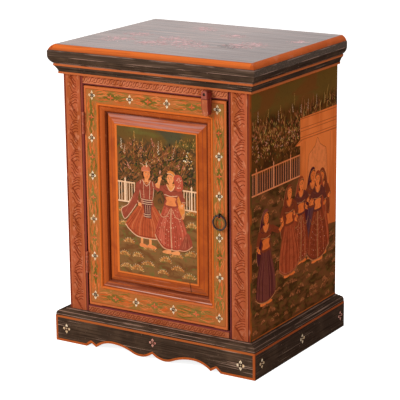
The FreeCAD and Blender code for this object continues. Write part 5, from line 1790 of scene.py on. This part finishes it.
# %% A side, from the hedge to the figures
class SidePicture:
    """The picture of one side. Turn is 1, or -1 where the layout is turned round."""

    near = -159.5
    far = 184.4
    foot = 67.4
    head = CORNICE_FOOT - 0.4

    def __init__(self, name, x, way, turn, rng):
        self.turn, self.rng = turn, rng
        inside = (*sorted((turn * self.near, turn * self.far)), self.foot, self.head)
        self.canvas = Canvas(name, (x, 0, 0), **way, inside=inside)

    def flip(self, points):
        return [(self.turn * a, b) for a, b in points]

    def hedge(self):
        """Loose dabs behind, a row of tall shrubs and golden bushes before them."""
        canvas, turn, rng = self.canvas, self.turn, self.rng
        for _ in range(420):
            canvas.leaf(rng.choice((leaf_green, leaf_rust, leaf_green, leaf_rust)),
                    turn * rng.uniform(self.near, self.far), rng.uniform(398, 492), rng.uniform(30, 150),
                    rng.uniform(5, 9), 2.3)
        for k in range(11):
            shrub(canvas, (leaf_rust, leaf_rust, leaf_green, leaf_gold),
                  turn * (-150 + 32 * k + rng.uniform(-6, 6)), rng.uniform(405, 432),
                  rng.uniform(55, 76), 60, rng, 35, 145, (8.5, 2.4))
        for a, b in ((-140, 432), (-110, 425), (-95, 446), (-60, 440), (-35, 432), (-5, 448), (10, 440),
                (-148, 455)):
            shrub(canvas, (leaf_gold, leaf_gold, blossom), turn * a, b, 15, 16, rng, 0, 360, (5, 2.2))

    def stalks(self):
        """Flowering sprays and thin stalks that stand out against the sky."""
        canvas, turn, rng = self.canvas, self.turn, self.rng
        for a, b in ((-145, 478), (-136, 490), (-104, 480), (-97, 492), (-57, 478), (-50, 492), (0, 485),
                (5, 498), (60, 480), (96, 482), (134, 480), (150, 478), (32, 478), (172, 480)):
            spray(canvas, rng.choice((buff_paint, leaf_gold)), turn * a, b, rng.uniform(14, 22),
                  rng.uniform(-3, 3), rng)
        for _ in range(52):
            a, b = turn * rng.uniform(self.near + 6, self.far - 6), rng.uniform(462, 488)
            tall = rng.uniform(8, 30)
            canvas.line(rng.choice((leaf_rust, leaf_green, leaf_gold, leaf_rust)),
                    flowing([(a, b), (a + rng.uniform(-2, 3), b + tall * 0.5),
                    (a + rng.uniform(-1, 7), b + tall)]), rng.uniform(1.2, 2.4), (1, 0.8, 0.2))

    def long_fence(self):
        near, turn = self.near, self.turn
        self.canvas.patch(shade_paint, self.flip([(near, 388), (near, 352), (29, 352), (29, 388)]))
        fence(self.canvas, *sorted((turn * (near + 0.2), turn * 29)), 353, 395,
              [turn * p for p in (-142, -76, -9)], 9.0, far_fence_paint)

    def pavilion(self):
        """A wall with an eave, a pointed doorway and the seams of its panels."""
        canvas, far = self.canvas, self.far
        canvas.patch(pavilion_paint, self.flip([(29, 468), (30, 425), (9, 416), (30, 413), (30, 238),
                (120, 228), (far, 223), (far, 468)]))
        doorway = flowing([(62, 234), (62, 372), (78, 394), (92, 402), (102, 416), (112, 402), (126, 394),
                (142, 372), (142, 230)], pieces=3)
        canvas.patch(doorway_paint, self.flip(doorway))
        canvas.line(seam_paint, self.flip(doorway), 1.2)
        for b in (466, 447, 441, 429, 424):
            canvas.line(seam_paint, self.flip([(30, b), (100, b - 1.5), (far - 0.4, b - 3)]), 1.4)
        for a in (36, 50, 156, 172):
            canvas.line(seam_paint, self.flip([(a, 232 if a > 100 else 242), (a, 418)]), 1.0)
        canvas.line(seam_paint, self.flip([(9, 416), (40, 424), (far - 0.4, 420)]), 1.6)

    def lawn(self):
        """Rows of small tufts, some larger ones between the figures and a few tall blades."""
        canvas, turn, rng = self.canvas, self.turn, self.rng
        for a in range(-146, 180, 27):
            for level in range(4):
                b = 86 + level * 27 + rng.uniform(-12, 12)
                tuft(canvas, turn * (a + rng.uniform(-12, 12)), b, rng.uniform(12, 22),
                     rng.uniform(6, 11), rng, leaf_rust, leaf_gold if rng.random() < 0.5 else leaf_rust)
        for a, b in ((-149, 219), (-116, 337), (-139, 322), (-88, 322), (-77, 300), (-44, 336), (-66, 237),
                (-76, 210), (165, 196), (172, 168), (150, 150), (-150, 190), (-50, 318), (-152, 300),
                (-60, 200)):
            tuft(canvas, turn * a, b, rng.uniform(17, 24), rng.uniform(9, 12), rng, leaf_rust, leaf_gold)
        for a, b in ((-52, 240), (-66, 190), (-40, 210)):
            blade = [(turn * a, b - 40), (turn * (a + 6), b), (turn * (a + 2), b + 18)]
            canvas.line(leaf_gold, flowing(blade), 1.2, (1, 0.6, 0.2))

    def party(self, cast):
        """Figures by place, ground and height, in the dress that is named for each."""
        for a, ground, tall, dress in cast:
            facing = self.turn * dress.get("facing", 1)
            far_dress = {**dress, "facing": facing, "skin": far_skin_paint, "trim": far_trim_paint,
                    "collar": far_skin_paint}
            Figure(self.canvas, self.turn * a, ground, tall, self.rng, **far_dress).paint()

    def paint(self, cast):
        near, far, foot, head = self.near, self.far, self.foot, self.head
        self.canvas.patch(side_garden, self.flip([(near, head), (near, foot), (far, foot), (far, head)]))
        for layer in (self.hedge, self.stalks, self.long_fence, self.pavilion, self.lawn):
            layer()
        self.party(cast)
        for level in (foot + 1.3, head - 1.6):
            self.canvas.line(edge_paint, self.flip([(near, level), (far, level)]), 2.6)
        self.canvas.hang("case", "side_paint")


print("a side picture is", round(SidePicture.far - SidePicture.near, 1), "mm by",
      round(SidePicture.head - SidePicture.foot, 1), "mm")

# %% [markdown]
# ## Who stands on the lawn
# Three dresses are enough for the party: dark plum, red, and dotted brown. On the right side six
# figures stand in front of the pavilion and to its left. The left side was not in the picture, so
# it is a plainer companion with four figures.

# %% Paint both sides
DARK = {"cloth": far_plum, "fold": far_plum_fold, "jacket": far_brown, "veil": far_plum_fold, "skirt": 0.4,
        "hem_low": 0.03, "hem_side": 0.1, "hands": ((-0.14, 0.6), (0.34, 0.76))}
RED = {"cloth": far_red, "fold": far_red_fold, "jacket": far_brown, "veil": far_brown, "skirt": 0.44,
       "hem_low": 0.03, "hem_side": 0.12, "hands": ((-0.16, 0.66), (0.14, 0.6))}
BROWN = {"cloth": far_brown, "fold": far_red_fold, "jacket": far_plum, "veil": far_red, "skirt": 0.46,
        "hem_low": 0.03, "hem_side": 0.13, "dotted": True, "hands": ((-0.15, 0.62), (0.16, 0.7))}
RIGHT_PARTY = ((82, 172, 186, {**DARK, "cloth": blue_cloth}),
        (122, 166, 182, {**RED, "facing": -1, "skirt": 0.36}),
        (34, 172, 178, {**BROWN, "skirt": 0.36}), (104, 158, 188, {**BROWN, "facing": -1}),
        (-14, 158, 186, RED), (-106, 126, 190, DARK))
LEFT_PARTY = ((70, 176, 184, {**RED, "facing": -1}), (112, 160, 186, DARK), (-20, 156, 190, BROWN),
        (-112, 130, 192, {**RED, "cloth": far_plum}))
rng = random.Random(31)
SidePicture("right_side_picture", SIDE_FACE, RIGHT_SIDE, 1, rng).paint(RIGHT_PARTY)
SidePicture("left_side_picture", -SIDE_FACE, LEFT_SIDE, -1, rng).paint(LEFT_PARTY)
print("figures on the sides:", len(RIGHT_PARTY) + len(LEFT_PARTY))

# %% [markdown]
# ## The thickness of the paint
# Paint adds a fraction of a millimetre.
